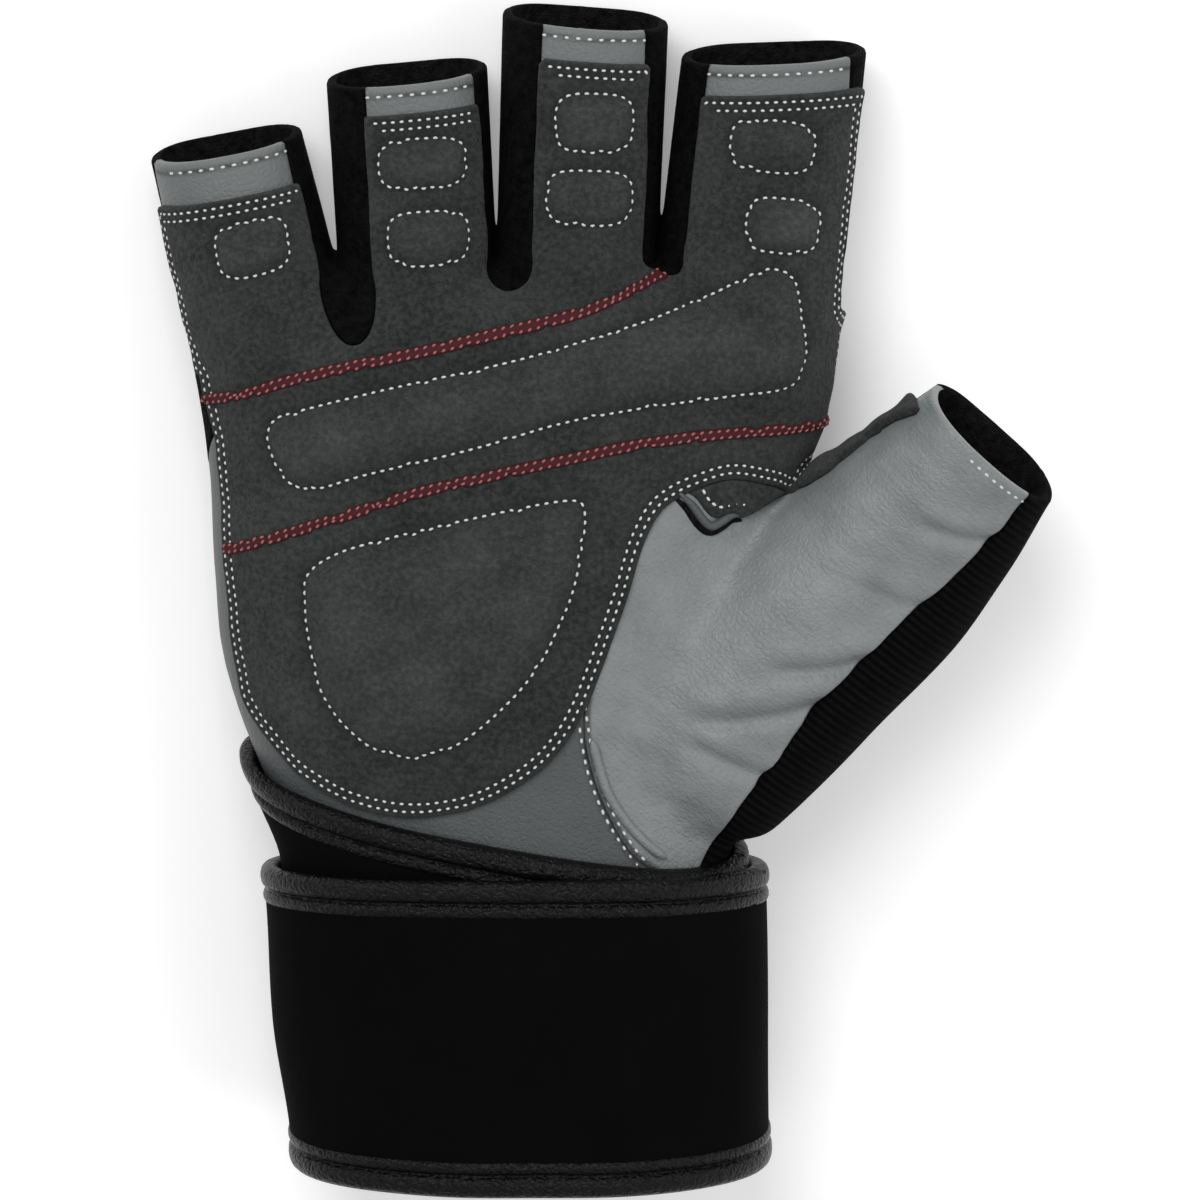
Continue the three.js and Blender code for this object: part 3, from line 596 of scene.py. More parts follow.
# finger, share along the stall, half length, half width, sideways
FINGER_PADS = {
    "pad_little": ("little", 0.203, 0.189, 0.238, 0.048),
    "pad_ring_1": ("ring", 0.47, 0.176, 0.27, 0.073),
    "pad_ring_2": ("ring", 0.144, 0.181, 0.251, 0.086),
    "pad_middle_1": ("middle", 0.575, 0.197, 0.241, 0.067),
    "pad_middle_2": ("middle", 0.248, 0.181, 0.259, 0.053),
    "pad_index_1": ("index", 0.556, 0.156, 0.233, 0.028),
    "pad_index_2": ("index", 0.215, 0.159, 0.205, 0.122),
}
PAD_CORNERS, PAD_SQUARENESS, TONGUE_SQUARENESS = 48, 0.6, 0.95

# %% Outlines that follow the fingers
def on_stall(finger, along, aside):
    root, ahead, side, _ = stall_axis(finger)
    return root + along * ahead + aside * side


def tab_outline(finger):
    reach = stall_axis(finger)[3]
    half = stall_width(finger, 0.5) / 2
    left, right = (t * half for t in finger["tab"])
    low, high, slant = -reach / 2, reach - finger["band"] * BAND_DEPTH, finger["slant"]
    corners = ((low, left), (low, right), (high + slant * right, right), (high + slant * left, left))
    return np.array([on_stall(finger, a, b) for a, b in corners])


def fork_outline(index):
    """The U between two stalls: up both facing tab edges, and round the tongue between them."""
    names = list(FINGERS)
    left, right = FINGERS[names[index]], FINGERS[names[index + 1]]

    def edge(finger, side, share):
        aside = finger["tab"][side] * stall_width(finger, share) / 2
        return on_stall(finger, share * stall_axis(finger)[3], aside)

    a, b = edge(left, 1, 0.0), edge(right, 0, 0.0)
    head = (a + b) / 2
    t = np.linspace(0, math.pi, 40)
    sideways = -np.sign(np.cos(t)) * np.abs(np.cos(t)) ** TONGUE_SQUARENESS
    drop = np.abs(np.sin(t)) ** TONGUE_SQUARENESS
    turn = head + sideways[:, None] * (b - head) + drop[:, None] * (TONGUES[index] - head)
    return np.concatenate([[edge(left, 1, 1.3)], turn, [edge(right, 0, 1.3)]])


def pad_outline(name):
    finger_name, along, half, wide, aside = FINGER_PADS[name]
    finger = FINGERS[finger_name]
    width = stall_width(finger, 0.5)
    t = np.arange(PAD_CORNERS) * 2 * math.pi / PAD_CORNERS
    square = lambda v: np.sign(v) * np.abs(v) ** PAD_SQUARENESS
    root, ahead, side, _ = stall_axis(finger)
    return (root + (along * STALL_LENGTH + square(np.sin(t)) * half * width)[:, None] * ahead
            + ((aside + square(np.cos(t)) * wide) * width)[:, None] * side)


# %% The pattern drawn on the skin
FAR = 400.0  # well outside the glove
SIDE_SEAM = (0.35, 0.72, 0.03)  # share of the thickness, where along the hand, climb towards the fingers
FORK_DEPTH = 0.2
THUMB_SIDE_SEAM = (0.55, 0.13)  # share of the thickness at the thumb's root, climb along the thumb
LEATHER_REACH, WEB_REACH = 6.0, 14.0  # leather and web reach this far below that seam
STRIP_HALF = 1.05


def draw_pattern(p):
    """All outlines as distances at each point of the skin."""
    x, y, z = p.T
    v = {"body": y - BODY_EDGE}
    height, at, climb = SIDE_SEAM
    v["side"] = z - (height * PALM_THICKNESS + climb * (y - at * HAND_LENGTH))
    ramp = lambda value, start, length: np.clip((value - start) / length, 0, 1)
    # the knit climbs only beside the little finger and, less, beside the index finger
    by_little = ramp(-x, 34, 8) * ramp(y, 118, 10) * ramp(-y, -164, 3)
    by_index = 0.35 * ramp(x, 50, 5) * ramp(y, 152, 10)
    v["leather_side"] = v["side"] - KNIT_CLIMB * np.maximum(by_little, by_index)
    for k in range(3):
        v[f"fork_{k + 1}"] = np.minimum(plan_distance(p, fork_outline(k)), z - FORK_DEPTH * PALM_THICKNESS)
    seam = smooth_line(placed(THUMB_SEAM))
    end = seam[-1] + HALF
    v["thumb"] = plan_distance(p, np.concatenate([
        [[seam[0, 0], seam[0, 1] - FAR]], seam, [end], [[FAR, end[1]]], [[FAR, seam[0, 1] - FAR]]]))
    ahead, side = thumb_axis()
    reach = (p[:, :2] - THUMB_ROOT) @ ahead
    aside = (p[:, :2] - THUMB_ROOT) @ side
    v["along_thumb"], v["across_thumb"] = reach, aside
    above = z - THUMB_SIDE_SEAM[0] * PALM_THICKNESS - THUMB_SIDE_SEAM[1] * reach
    edge = smooth_line(placed(KNIT_EDGE))
    knit_side = plan_distance(p, np.concatenate([
        edge, [[edge[-1, 0], FAR]], [[-FAR, FAR]], [[-FAR, edge[0, 1]]]]))
    v["thumb_top"] = np.minimum(knit_side, above + LEATHER_REACH)
    v["above_thumb_seam"] = above + WEB_REACH
    v["suede"] = plan_distance(p, smooth_line(placed(SUEDE_SIDE)))
    for finger in FINGERS.values():
        v["suede"] = np.maximum(v["suede"], plan_distance(p, tab_outline(finger)))
    opening = np.full(len(p), 60.0)
    lines = between_stalls(y)
    owner = sum((x > line).astype(int) for line in lines)
    stall_middle = (STALL_SECTIONS[-1, 2] + STALL_SECTIONS[-1, 3]) / 2 * PALM_THICKNESS
    for k, finger in enumerate(FINGERS.values()):
        root, ahead_f, side_f, length = stall_axis(finger)
        along, across = (p[:, :2] - root) @ ahead_f, (p[:, :2] - root) @ side_f
        mine = (owner == k) & (along > 0.3 * length)
        end = length + finger["slant"] * across - STALL_LEAN * (z - stall_middle)
        opening = np.where(mine, end - along, opening)
    middle = (THUMB_SECTIONS[-1, 3] + THUMB_SECTIONS[-1, 4]) / 2 * PALM_THICKNESS
    near = (reach > 0.6 * THUMB_LENGTH) & (np.abs(aside) < THUMB_WIDTH * 0.6)
    at_thumb = THUMB_LENGTH - THUMB_LEAN * (z - middle) - reach
    v["opening"] = np.where(near, np.minimum(opening, at_thumb), opening)
    for name, rows in (("web", WEB_EDGE), ("pad_knuckle", KNUCKLE_PAD), ("pad_heel", HEEL_PAD)):
        v[name] = plan_distance(p, smooth_line(placed(rows), True))
    for name in FINGER_PADS:
        v[name] = plan_distance(p, pad_outline(name))
    for name, rows in (("red_seam_upper", RED_UPPER), ("red_seam_lower", RED_LOWER)):
        v[name] = STRIP_HALF - plan_distance(p, smooth_line(placed(rows)), False)
    return v


whole = Skin(hand_points, hand_faces, draw_pattern(hand_points))
whole.values["normal"] = relax(normals_of(whole.points, whole.faces), whole.edges(), 2)
whole = trim(trim(whole, "opening"), "body")
hand_tree = BVHTree.FromPolygons(whole.points.tolist(), whole.faces.tolist())
print("values on the skin:", len(whole.values))

# %% [markdown]
# ## From skins to pieces
# A panel has a thickness, so each skin becomes a shell: its outer face, an inner face one wall further
# in, and a strip along the rim between them. Near the rim the outer face drops in a quarter circle,
# because a cut edge of leather is never sharp. Extra cuts at small distances from the rim give that
# roll the points that it needs.

# %% Shells with rolled edges
def roll(distance, radius):
    """How far a rounded edge has dropped at a distance from the rim."""
    t = np.clip(1 - distance / radius, 0, 1)
    return radius * (1 - np.sqrt(np.maximum(1 - t**2, 0)))


def with_rim(skin, cuts, name="edge"):
    """Adds the distance to the rim, and cuts the skin along lines at these distances from it."""
    skin.values[name] = distance_to(skin.points, rim_points(skin))[0]
    for level in cuts:
        skin, _ = split(skin, skin.values[name], level)
    return skin


def shell(skin, outer, inner, closed=True):
    """Points, faces and a flag for inner faces, of a wall between two lifts along the normals."""
    n = unit(skin.values["normal"])
    count = len(skin.points)
    points = np.concatenate([skin.points + n * outer[:, None], skin.points + n * inner[:, None]])
    rim = rim_of(skin.faces)
    a, b = rim.T
    strip = np.concatenate([np.stack([b, a, a + count], 1), np.stack([b, a + count, b + count], 1)])
    back = skin.faces[:, ::-1] + count
    faces = np.concatenate([skin.faces, strip] + ([back] if closed else []))
    inside = np.zeros(len(faces), bool)
    inside[len(skin.faces) + len(strip):] = True
    return points, faces, inside


# %% Blender objects from arrays
def to_frame(points):
    return (points - ORIGIN) / 1000


def piece(name, points, faces, finishes, stands_for=(), values=None, finish_of_face=None):
    """One named piece of the glove, in metres, that rides on the frame."""
    used, faces = np.unique(faces, return_inverse=True)
    faces = faces.reshape(-1, 3)
    points = points[used]
    name = name + "_skin" if name in stands_for else name
    mesh = bpy.data.meshes.new(name)
    mesh.vertices.add(len(points))
    mesh.vertices.foreach_set("co", to_frame(points).astype(np.float32).ravel())
    mesh.loops.add(faces.size)
    mesh.loops.foreach_set("vertex_index", faces.astype(np.int32).ravel())
    mesh.polygons.add(len(faces))
    mesh.polygons.foreach_set("loop_start", np.arange(0, faces.size, 3, dtype=np.int32))
    mesh.polygons.foreach_set("use_smooth", np.ones(len(faces), bool))
    for finish in finishes:
        mesh.materials.append(finish)
    if finish_of_face is not None:
        mesh.polygons.foreach_set("material_index", finish_of_face.astype(np.int32))
    mesh.update(calc_edges=True)
    mesh.validate()
    for key, array in (values or {}).items():
        attribute = mesh.attributes.new(key, "FLOAT", "POINT")
        attribute.data.foreach_set("value", array[used].astype(np.float32))
    obj = bpy.data.objects.new(name, mesh)
    bpy.context.scene.collection.objects.link(obj)
    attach(obj, "root")
    if stands_for:
        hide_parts(*stands_for)
    print(f"{name}: {len(faces)} triangles")
    return obj


# %% [markdown]
# ## Noise in space
# Soft goods are never even. A small sum of sine waves in different directions, always with the same
# numbers, gives gentle lows and highs that repeat in every run.

# %% Gentle waves
def waves(points, size, seed):
    """A smooth value between about -1 and 1 that changes over this many millimetres."""
    random = np.random.default_rng(seed)
    total = np.zeros(len(points))
    for _ in range(6):
        way = random.normal(size=3)
        way = way / np.linalg.norm(way) * random.uniform(0.7, 1.4)
        total += np.sin(points @ way * 2 * math.pi / size + random.uniform(0, 6.28))
    return total / 3.5


# %% [markdown]
# ## Finishes
# Six finishes cover the glove: mottled suede, grained leather, black knit, neoprene, the bumpy edge
# binding, and sewing thread. What several of them share is built once as a node group: a patchy mask
# for the nap and wear, a fine grain for bump, and a line of painted shade beside each stitch row.

# %% Helpers for nodes
def feed(tree, socket, value):
    """A link or a plain value on a socket."""
    if isinstance(value, bpy.types.NodeSocket):
        tree.links.new(value, socket)
    else:
        socket.default_value = value


def add(tree, kind, links=(), **settings):
    """A node with settings, with links or plain values on its inputs by name or number."""
    node = tree.nodes.new(kind)
    for key, value in settings.items():
        setattr(node, key, value)
    for key, value in dict(links).items():
        feed(tree, node.inputs[key], value)
    return node


def calc(tree, operation, a, b=0.0, c=0.0):
    return add(tree, "ShaderNodeMath", {0: a, 1: b, 2: c}, operation=operation).outputs[0]


def group(name, inputs, output):
    """An empty node group with number sockets: start values by name going in, one coming out."""
    tree = bpy.data.node_groups.new(name, "ShaderNodeTree")
    for title, value in inputs.items():
        socket = tree.interface.new_socket(title, in_out="INPUT", socket_type="NodeSocketFloat")
        socket.default_value = value
    tree.interface.new_socket(output, in_out="OUTPUT", socket_type="NodeSocketFloat")
    return tree, tree.nodes.new("NodeGroupInput"), tree.nodes.new("NodeGroupOutput")


def place(tree, source, **values):
    node = tree.nodes.new("ShaderNodeGroup")
    node.node_tree = source
    for key, value in values.items():
        feed(tree, node.inputs[key.replace("_", " ").capitalize()], value)
    return node


# %% A patchy mask
def patchy_group():
    tree, start, end = group("patches", {"Patch size": 0.003, "Sharpness": 1.5}, "Mask")
    place_in = tree.nodes.new("ShaderNodeTexCoord").outputs["Object"]
    scale = calc(tree, "DIVIDE", 1.0, start.outputs["Patch size"])
    noise = add(tree, "ShaderNodeTexNoise",
                {"Vector": place_in, "Scale": scale, "Detail": 5.0, "Roughness": 0.62})
    centred = calc(tree, "SUBTRACT", noise.outputs[0], 0.5)
    sharp = calc(tree, "MULTIPLY_ADD", centred, start.outputs["Sharpness"], 0.5)
    clamped = add(tree, "ShaderNodeClamp", {"Value": sharp}).outputs[0]
    tree.links.new(clamped, end.inputs["Mask"])
    return tree


PATCHES = patchy_group()


# %% A fine grain
def grain_group():
    tree, start, end = group("grain", {"Cell size": 0.0012, "Crease": 0.6}, "Height")
    place_in = tree.nodes.new("ShaderNodeTexCoord").outputs["Object"]
    scale = calc(tree, "DIVIDE", 1.0, start.outputs["Cell size"])
    warp = add(tree, "ShaderNodeTexNoise", {"Vector": place_in, "Scale": scale, "Detail": 2.0})
    shifted = add(tree, "ShaderNodeVectorMath", {0: warp.outputs["Color"], 1: (0.0006, 0.0006, 0.0006)},
                  operation="MULTIPLY")
    moved = add(tree, "ShaderNodeVectorMath", {0: place_in, 1: shifted.outputs[0]}, operation="ADD")
    cells = add(tree, "ShaderNodeTexVoronoi", {"Vector": moved.outputs[0], "Scale": scale},
                feature="DISTANCE_TO_EDGE")
    crease = calc(tree, "MINIMUM", calc(tree, "MULTIPLY", cells.outputs["Distance"], 4.0), 1.0)
    fine = add(tree, "ShaderNodeTexNoise",
               {"Vector": place_in, "Scale": calc(tree, "MULTIPLY", scale, 3.0), "Detail": 3.0})
    height = calc(tree, "MULTIPLY_ADD", crease, start.outputs["Crease"], fine.outputs[0])
    tree.links.new(height, end.inputs["Height"])
    return tree


GRAIN = grain_group()


# %% Painted shade beside the stitches
# A soft mask along a stitch row, for the painted shade in the groove where the thread sinks in.
def row_shade_group():
    tree, start, end = group("row_shade", {"Distance": 10.0, "Width": 0.4}, "Mask")
    share = calc(tree, "DIVIDE", start.outputs["Distance"], start.outputs["Width"])
    soft = calc(tree, "EXPONENT", calc(tree, "MULTIPLY", calc(tree, "POWER", share, 2.0), -1.0))
    tree.links.new(soft, end.inputs["Mask"])
    return tree


ROW_SHADE = row_shade_group()


# %% Starting a material
def new_material(name, **fixed):
    material = bpy.data.materials.new(name)
    material.use_nodes = True
    tree = material.node_tree
    shader = tree.nodes["Principled BSDF"]
    for title, value in fixed.items():
        shader.inputs[title.replace("_", " ")].default_value = value
    return material, tree, shader


def value_of(tree, name):
    return add(tree, "ShaderNodeAttribute", attribute_name=name).outputs["Fac"]


def mixed(tree, mask, a, b):
    node = tree.nodes.new("ShaderNodeMix")
    node.data_type = "RGBA"
    feed(tree, node.inputs[0], mask)
    for key, colour in ((6, a), (7, b)):
        is_link = isinstance(colour, bpy.types.NodeSocket)
        feed(tree, node.inputs[key], colour if is_link else (*colour, 1.0))
    return node.outputs[2]


def masked(tree, source, output="Mask", **values):
    """One output of a placed group."""
    return place(tree, source, **values).outputs[output]


def shade_beside_rows(tree, colour, width, share, painted_shade):
    """The colour, with painted shade beside the stitch rows, where the thread sinks into its groove."""
    line = masked(tree, ROW_SHADE, distance=value_of(tree, "row"), width=width)
    return mixed(tree, calc(tree, "MULTIPLY", line, share), colour, painted_shade)


def bump(tree, shader, height, depth, strength=1.0):
    node = add(tree, "ShaderNodeBump", {"Height": height, "Distance": depth, "Strength": strength})
    tree.links.new(node.outputs["Normal"], shader.inputs["Normal"])


# %% Suede
def suede_finish():
    material, tree, shader = new_material("suede", Roughness=0.95, Sheen_Weight=0.08, Sheen_Roughness=0.6,
                                          Specular_IOR_Level=0.15)
    nap = masked(tree, PATCHES, patch_size=0.0009, sharpness=4.5)
    broad = masked(tree, PATCHES, patch_size=0.010, sharpness=2.4)
    worn = value_of(tree, "worn")
    shade = calc(tree, "MULTIPLY_ADD", nap, 0.42, calc(tree, "MULTIPLY", broad, 0.3))
    shade = calc(tree, "ADD", shade, calc(tree, "MULTIPLY", worn, 0.3))
    shade = add(tree, "ShaderNodeClamp", {"Value": shade}).outputs[0]
    colour = mixed(tree, shade, (0.008, 0.009, 0.0087), (0.062, 0.067, 0.0645))
    # Painted shade: a narrow dark line along each stitch row and pad edge, and a wider, fainter one round
    # them where the suede dips.
    colour = shade_beside_rows(tree, colour, 0.38, 0.55, (0.008, 0.009, 0.009))
    colour = shade_beside_rows(tree, colour, 1.3, 0.3, (0.012, 0.013, 0.013))
    tree.links.new(colour, shader.inputs["Base Color"])
    fine = masked(tree, GRAIN, "Height", cell_size=0.0007, crease=0.2)
    bump(tree, shader, calc(tree, "ADD", fine, nap), 0.00022)
    return material


# %% Leather
def leather_finish(name, dark, light, roughness, crossways):
    material, tree, shader = new_material(name, Specular_IOR_Level=0.5, Coat_Weight=0.08, Coat_Roughness=0.35)
    patches = masked(tree, PATCHES, patch_size=0.009, sharpness=1.6)
    colour = mixed(tree, patches, dark, light)
    # Painted highlight: the leather is made lighter near the finger openings, where the bands face the lamp.
    colour = mixed(tree, calc(tree, "MULTIPLY", value_of(tree, "band"), 0.65), colour, (0.17, 0.183, 0.18))
    # Painted shade beside the stitch rows.
    colour = shade_beside_rows(tree, colour, 0.45, 0.8, (0.004, 0.004, 0.004))
    tree.links.new(colour, shader.inputs["Base Color"])
    tree.links.new(calc(tree, "MULTIPLY_ADD", patches, 0.12, roughness), shader.inputs["Roughness"])
    height = masked(tree, GRAIN, "Height", cell_size=0.0011, crease=0.5)
    if crossways:
        along = calc(tree, "MULTIPLY", value_of(tree, "along"), 0.001)
        across = calc(tree, "MULTIPLY", value_of(tree, "across"), 0.00018)
        where = add(tree, "ShaderNodeCombineXYZ", {0: along, 1: across}).outputs[0]
        lines = add(tree, "ShaderNodeTexNoise", {"Vector": where, "Scale": 1300.0, "Detail": 3.0}).outputs[0]
        height = calc(tree, "MULTIPLY_ADD", lines, 1.6, height)
    bump(tree, shader, height, 0.00012)
    return material


# %% Knit
def knit_finish(name, ribbed, strength=1.0):
    material, tree, shader = new_material(name, Roughness=0.95, Specular_IOR_Level=0.04)
    fuzz = masked(tree, PATCHES, patch_size=0.0016, sharpness=2.4)
    along = value_of(tree, "along")
    wave = calc(tree, "SINE", calc(tree, "MULTIPLY", along, 2 * math.pi / 1.3))
    rib = calc(tree, "MULTIPLY_ADD", wave, 0.5, 0.5)
    shade = calc(tree, "MULTIPLY", rib, calc(tree, "MULTIPLY_ADD", fuzz, 0.7, 0.3)) if ribbed else fuzz
    dark, light = (0.0015, 0.0015, 0.0016), (0.009, 0.009, 0.0095)
    colour = mixed(tree, shade, [c * strength for c in dark], [c * strength for c in light])
    tree.links.new(colour, shader.inputs["Base Color"])
    loops = masked(tree, GRAIN, "Height", cell_size=0.0006, crease=0.8)
    height = calc(tree, "MULTIPLY_ADD", rib, 2.0, loops) if ribbed else calc(tree, "ADD", loops, fuzz)
    bump(tree, shader, height, 0.00025)
    return material


# %% Neoprene, binding and thread
def neoprene_finish():
    material, tree, shader = new_material("neoprene", Roughness=0.9, Specular_IOR_Level=0.04)
    patches = masked(tree, PATCHES, patch_size=0.014, sharpness=1.5)
    colour = mixed(tree, patches, (0.0016, 0.0016, 0.0017), (0.0026, 0.0026, 0.0027))
    tree.links.new(colour, shader.inputs["Base Color"])
    bump(tree, shader, masked(tree, GRAIN, "Height", cell_size=0.0007, crease=0.6), 0.00006)
    return material


def binding_finish():
    material, tree, shader = new_material("binding", Specular_IOR_Level=0.16)
    patches = masked(tree, PATCHES, patch_size=0.0018, sharpness=2.0)
    colour = mixed(tree, patches, (0.001, 0.001, 0.0011), (0.005, 0.005, 0.0052))
    # Painted shade in the stitched groove of the binding.
    colour = shade_beside_rows(tree, colour, 0.5, 0.9, (0.002, 0.002, 0.002))
    tree.links.new(colour, shader.inputs["Base Color"])
    tree.links.new(calc(tree, "MULTIPLY_ADD", patches, -0.08, 0.34), shader.inputs["Roughness"])
    fine = masked(tree, GRAIN, "Height", cell_size=0.0013, crease=0.7)
    bump(tree, shader, calc(tree, "MULTIPLY_ADD", patches, 0.8, fine), 0.0002)
    return material


def thread_finish(name, shade_colour, crest, roughness=0.6):
    material, tree, shader = new_material(name, Roughness=roughness, Specular_IOR_Level=0.3)
    # Painted shade and highlight: each stitch is darkest at its ends, where it dives into its hole, and
    # lightest on its crest.
    colour = mixed(tree, value_of(tree, "crest"), shade_colour, crest)
    tree.links.new(colour, shader.inputs["Base Color"])
    bump(tree, shader, masked(tree, GRAIN, "Height", cell_size=0.0003, crease=0.2), 0.00006)
    return material


SUEDE_FINISH = suede_finish()
PALM_LEATHER = leather_finish("palm_leather", (0.053, 0.059, 0.061), (0.08, 0.088, 0.09), 0.5, False)
# The thumb's leather is partly its own lighter grey and partly painted highlight: its colours are lightened
# to stand in for the broad sheen across the thumb.
THUMB_LEATHER = leather_finish("thumb_leather", (0.148, 0.161, 0.163), (0.235, 0.252, 0.253), 0.38, True)
KNIT = knit_finish("knit", False)
RIBBED_KNIT = knit_finish("ribbed_knit", True)
LINING = knit_finish("lining", False, 2.2)
NEOPRENE = neoprene_finish()
BINDING = binding_finish()
# Each pair is the painted shade at a stitch's ends and the colour of its crest; the red thread's pink crest
# is a painted highlight, and the red strip is painted darker towards its rolled edges.
WHITE_THREAD = thread_finish("white_thread", (0.06, 0.065, 0.065), (0.72, 0.74, 0.72))
RED_THREAD = thread_finish("red_thread", (0.08, 0.006, 0.009), (0.4, 0.13, 0.13))
RED_STRIP = thread_finish("red_strip", (0.03, 0.004, 0.006), (0.075, 0.008, 0.011), 0.8)
print("finishes:", len(bpy.data.materials), "groups:", len(bpy.data.node_groups))

# %% [markdown]
# ## The body's panels
# The leather palm lies above the side seam, the knit back below it. Knit strips fill the forks between
# the fingers, and the thumb has its own leather and knit. All are regions of the one skin, with the
# lining's dark side inwards, so that the finger openings look into a dark tube.

# %% A panel of the body
PANEL_ROLL, PANEL_CUTS = 0.7, (0.25, 0.6, 1.0)
ROW_AT_OPENING, ROW_AT_SEAM, NO_ROW = 1.6, 0.6, 10.0  # a stitch row's distance from its edge; none near


def panel(name, skin, finish, relief=None, values=()):
    """A wall of the body from its region of the skin, with the lining's finish inside."""
    skin = with_rim(skin, PANEL_CUTS)
    lift = -roll(skin.values["edge"], PANEL_ROLL)
    if relief is not None:
        lift = lift + relief(skin)
    points, faces, inside = shell(skin, lift, np.full(len(lift), -WALL))
    piece(name, points, faces, [finish, LINING], [name], skin.twice(values), inside)
    skin.values["lift"] = lift
    return skin


def surface(skin):
    """The skin's points at their lift, with fresh normals."""
    points = skin.points + unit(skin.values["normal"]) * skin.values["lift"][:, None]
    normal = relax(normals_of(points, skin.faces), skin.edges(), 1)
    return Skin(points, skin.faces, {**skin.values, "normal": normal})


def without_forks(skin):
    for k in (1, 2, 3):
        skin = trim(skin, f"fork_{k}", -1)
    return skin


def beside_thumb_seam(skin):
    """Distance from the stitch row along the thumb's seam."""
    return np.abs(plan_distance(skin.points, smooth_line(placed(THUMB_SEAM)), False) - ROW_AT_SEAM)


# %% Leather palm and knit back
hand_side = without_forks(trim(whole, "thumb", -1))
leather_skin = trim(hand_side, "leather_side")
by_opening = np.abs(leather_skin.values["opening"] - ROW_AT_OPENING)
leather_skin.values["row"] = np.minimum(by_opening, np.minimum(beside_thumb_seam(leather_skin), NO_ROW))


def leather_relief(skin):
    return 0.25 * waves(skin.points, 26, 3)


# Near the finger openings; the leather's finish uses it for a painted highlight on the bands.
leather_skin.values["band"] = np.clip((10.0 - leather_skin.values["opening"]) / 2, 0, 1)
leather_skin = panel("palm_leather", leather_skin, PALM_LEATHER, leather_relief, ("row", "band"))
back_skin = trim(hand_side, "leather_side", -1)
back_skin.values["along"] = back_skin.points[:, 1].copy()
panel("back_panel", back_skin, KNIT, values=("along",))
for k in (1, 2, 3):
    fork_skin = trim(trim(whole, "thumb", -1), f"fork_{k}")
    fork_skin.values["along"] = fork_skin.points[:, 2].copy()
    panel(f"fourchette_{k}", fork_skin, KNIT, values=("along",))

# %% [markdown]
# ## The thumb
# The leather on the thumb's palm side is pulled into soft folds by the seam below it. Each fold is a
# line across the leather: the surface sinks along it and swells just beside it. The knit on the outer
# side is ribbed across the thumb, and the finish draws the ribs from the distance along it.

# %% Folds and thumb panels
# start x, y, end x, y, depth, breadth, in millimetres
THUMB_FOLDS = np.array([
    [46.0, 90.4, 60.0, 92.6, 0.9, 2.0],
    [34.0, 81.6, 54.0, 85.0, 1.1, 2.4],
    [32.0, 76.4, 46.0, 71.2, 0.8, 2.2],
    [70.0, 114.8, 82.0, 112.8, 0.8, 1.9],
    [60.0, 104.0, 73.0, 101.0, 0.5, 2.0],
])


def fold_relief(skin):
    lift = 0.3 * waves(skin.points, 22, 5) + 0.12 * waves(skin.points, 7, 6)
    for x0, y0, x1, y1, depth, breadth in THUMB_FOLDS:
        start = np.array([x0, y0])
        way = np.array([x1, y1]) - start
        length = np.linalg.norm(way)
        way = way / length
        offset = skin.points[:, :2] - start
        along = offset @ way / length
        across = offset @ np.array([-way[1], way[0]]) + 0.8 * np.sin(along * 3)
        fade = ease(np.minimum(along + 0.35, 1.25 - along) * 2.5)
        lift += 1.1 * fade * depth * (0.55 * np.exp(-((across - 1.5 * breadth) / breadth) ** 2)
                                - np.exp(-((across / breadth) ** 2) * 2.0))
    return lift


thumb_side = trim(whole, "thumb")
thumb_leather_skin = finer(trim(thumb_side, "thumb_top"))
thumb_leather_skin.values["row"] = beside_thumb_seam(thumb_leather_skin)
thumb_leather_skin = panel(
    "thumb_leather", thumb_leather_skin, THUMB_LEATHER, fold_relief,
    {"row": "row", "along": "along_thumb", "across": "across_thumb"})
knit_skin = trim(thumb_side, "thumb_top", -1)
panel("thumb_knit", knit_skin, RIBBED_KNIT, values={"along": "along_thumb"})

# %% [markdown]
# ## The suede overlay
# The suede lies on the leather like a second skin, with a tab up each finger. Its relief is worked out
# at each point: a rolled edge, a shallow groove under each stitch row, a dip round each pad, and the
# puckers that stitching leaves. The pads are cut from the same skin and domed over their filling.

# %% Suede skin and its relief
STITCH_ROWS = (1.2, 2.5)  # distances of the double row from the suede's edge
SUEDE_ROLL, SUEDE_SUNK = 0.9, -0.1
suede_skin = finer(without_forks(trim(trim(whole, "side"), "suede")))
suede_skin = with_rim(suede_skin, (0.2, 0.5, 0.9, 1.2, 1.6, 2.1, 2.5, 2.9))
LARGE_PADS, RED_STRIPS = ("pad_knuckle", "pad_heel"), ("red_seam_upper", "red_seam_lower")
PAD_NAMES = (*FINGER_PADS, *LARGE_PADS)
for name in PAD_NAMES + RED_STRIPS:
    suede_skin, _ = split(suede_skin, suede_skin.values[name])
rim = rim_points(suede_skin)
nearest_fork = np.min([np.abs(plan_distance(rim, fork_outline(k))) for k in range(3)], 0)
rim_is_fork = nearest_fork < 0.3
edge, nearest = distance_to(suede_skin.points, rim)
by_fork = rim_is_fork[nearest]
suede_skin.values["edge"] = edge
suede_skin.values["by_fork"] = by_fork.astype(float)


def bell(distance, width):
    return np.exp(-((distance / width) ** 2))


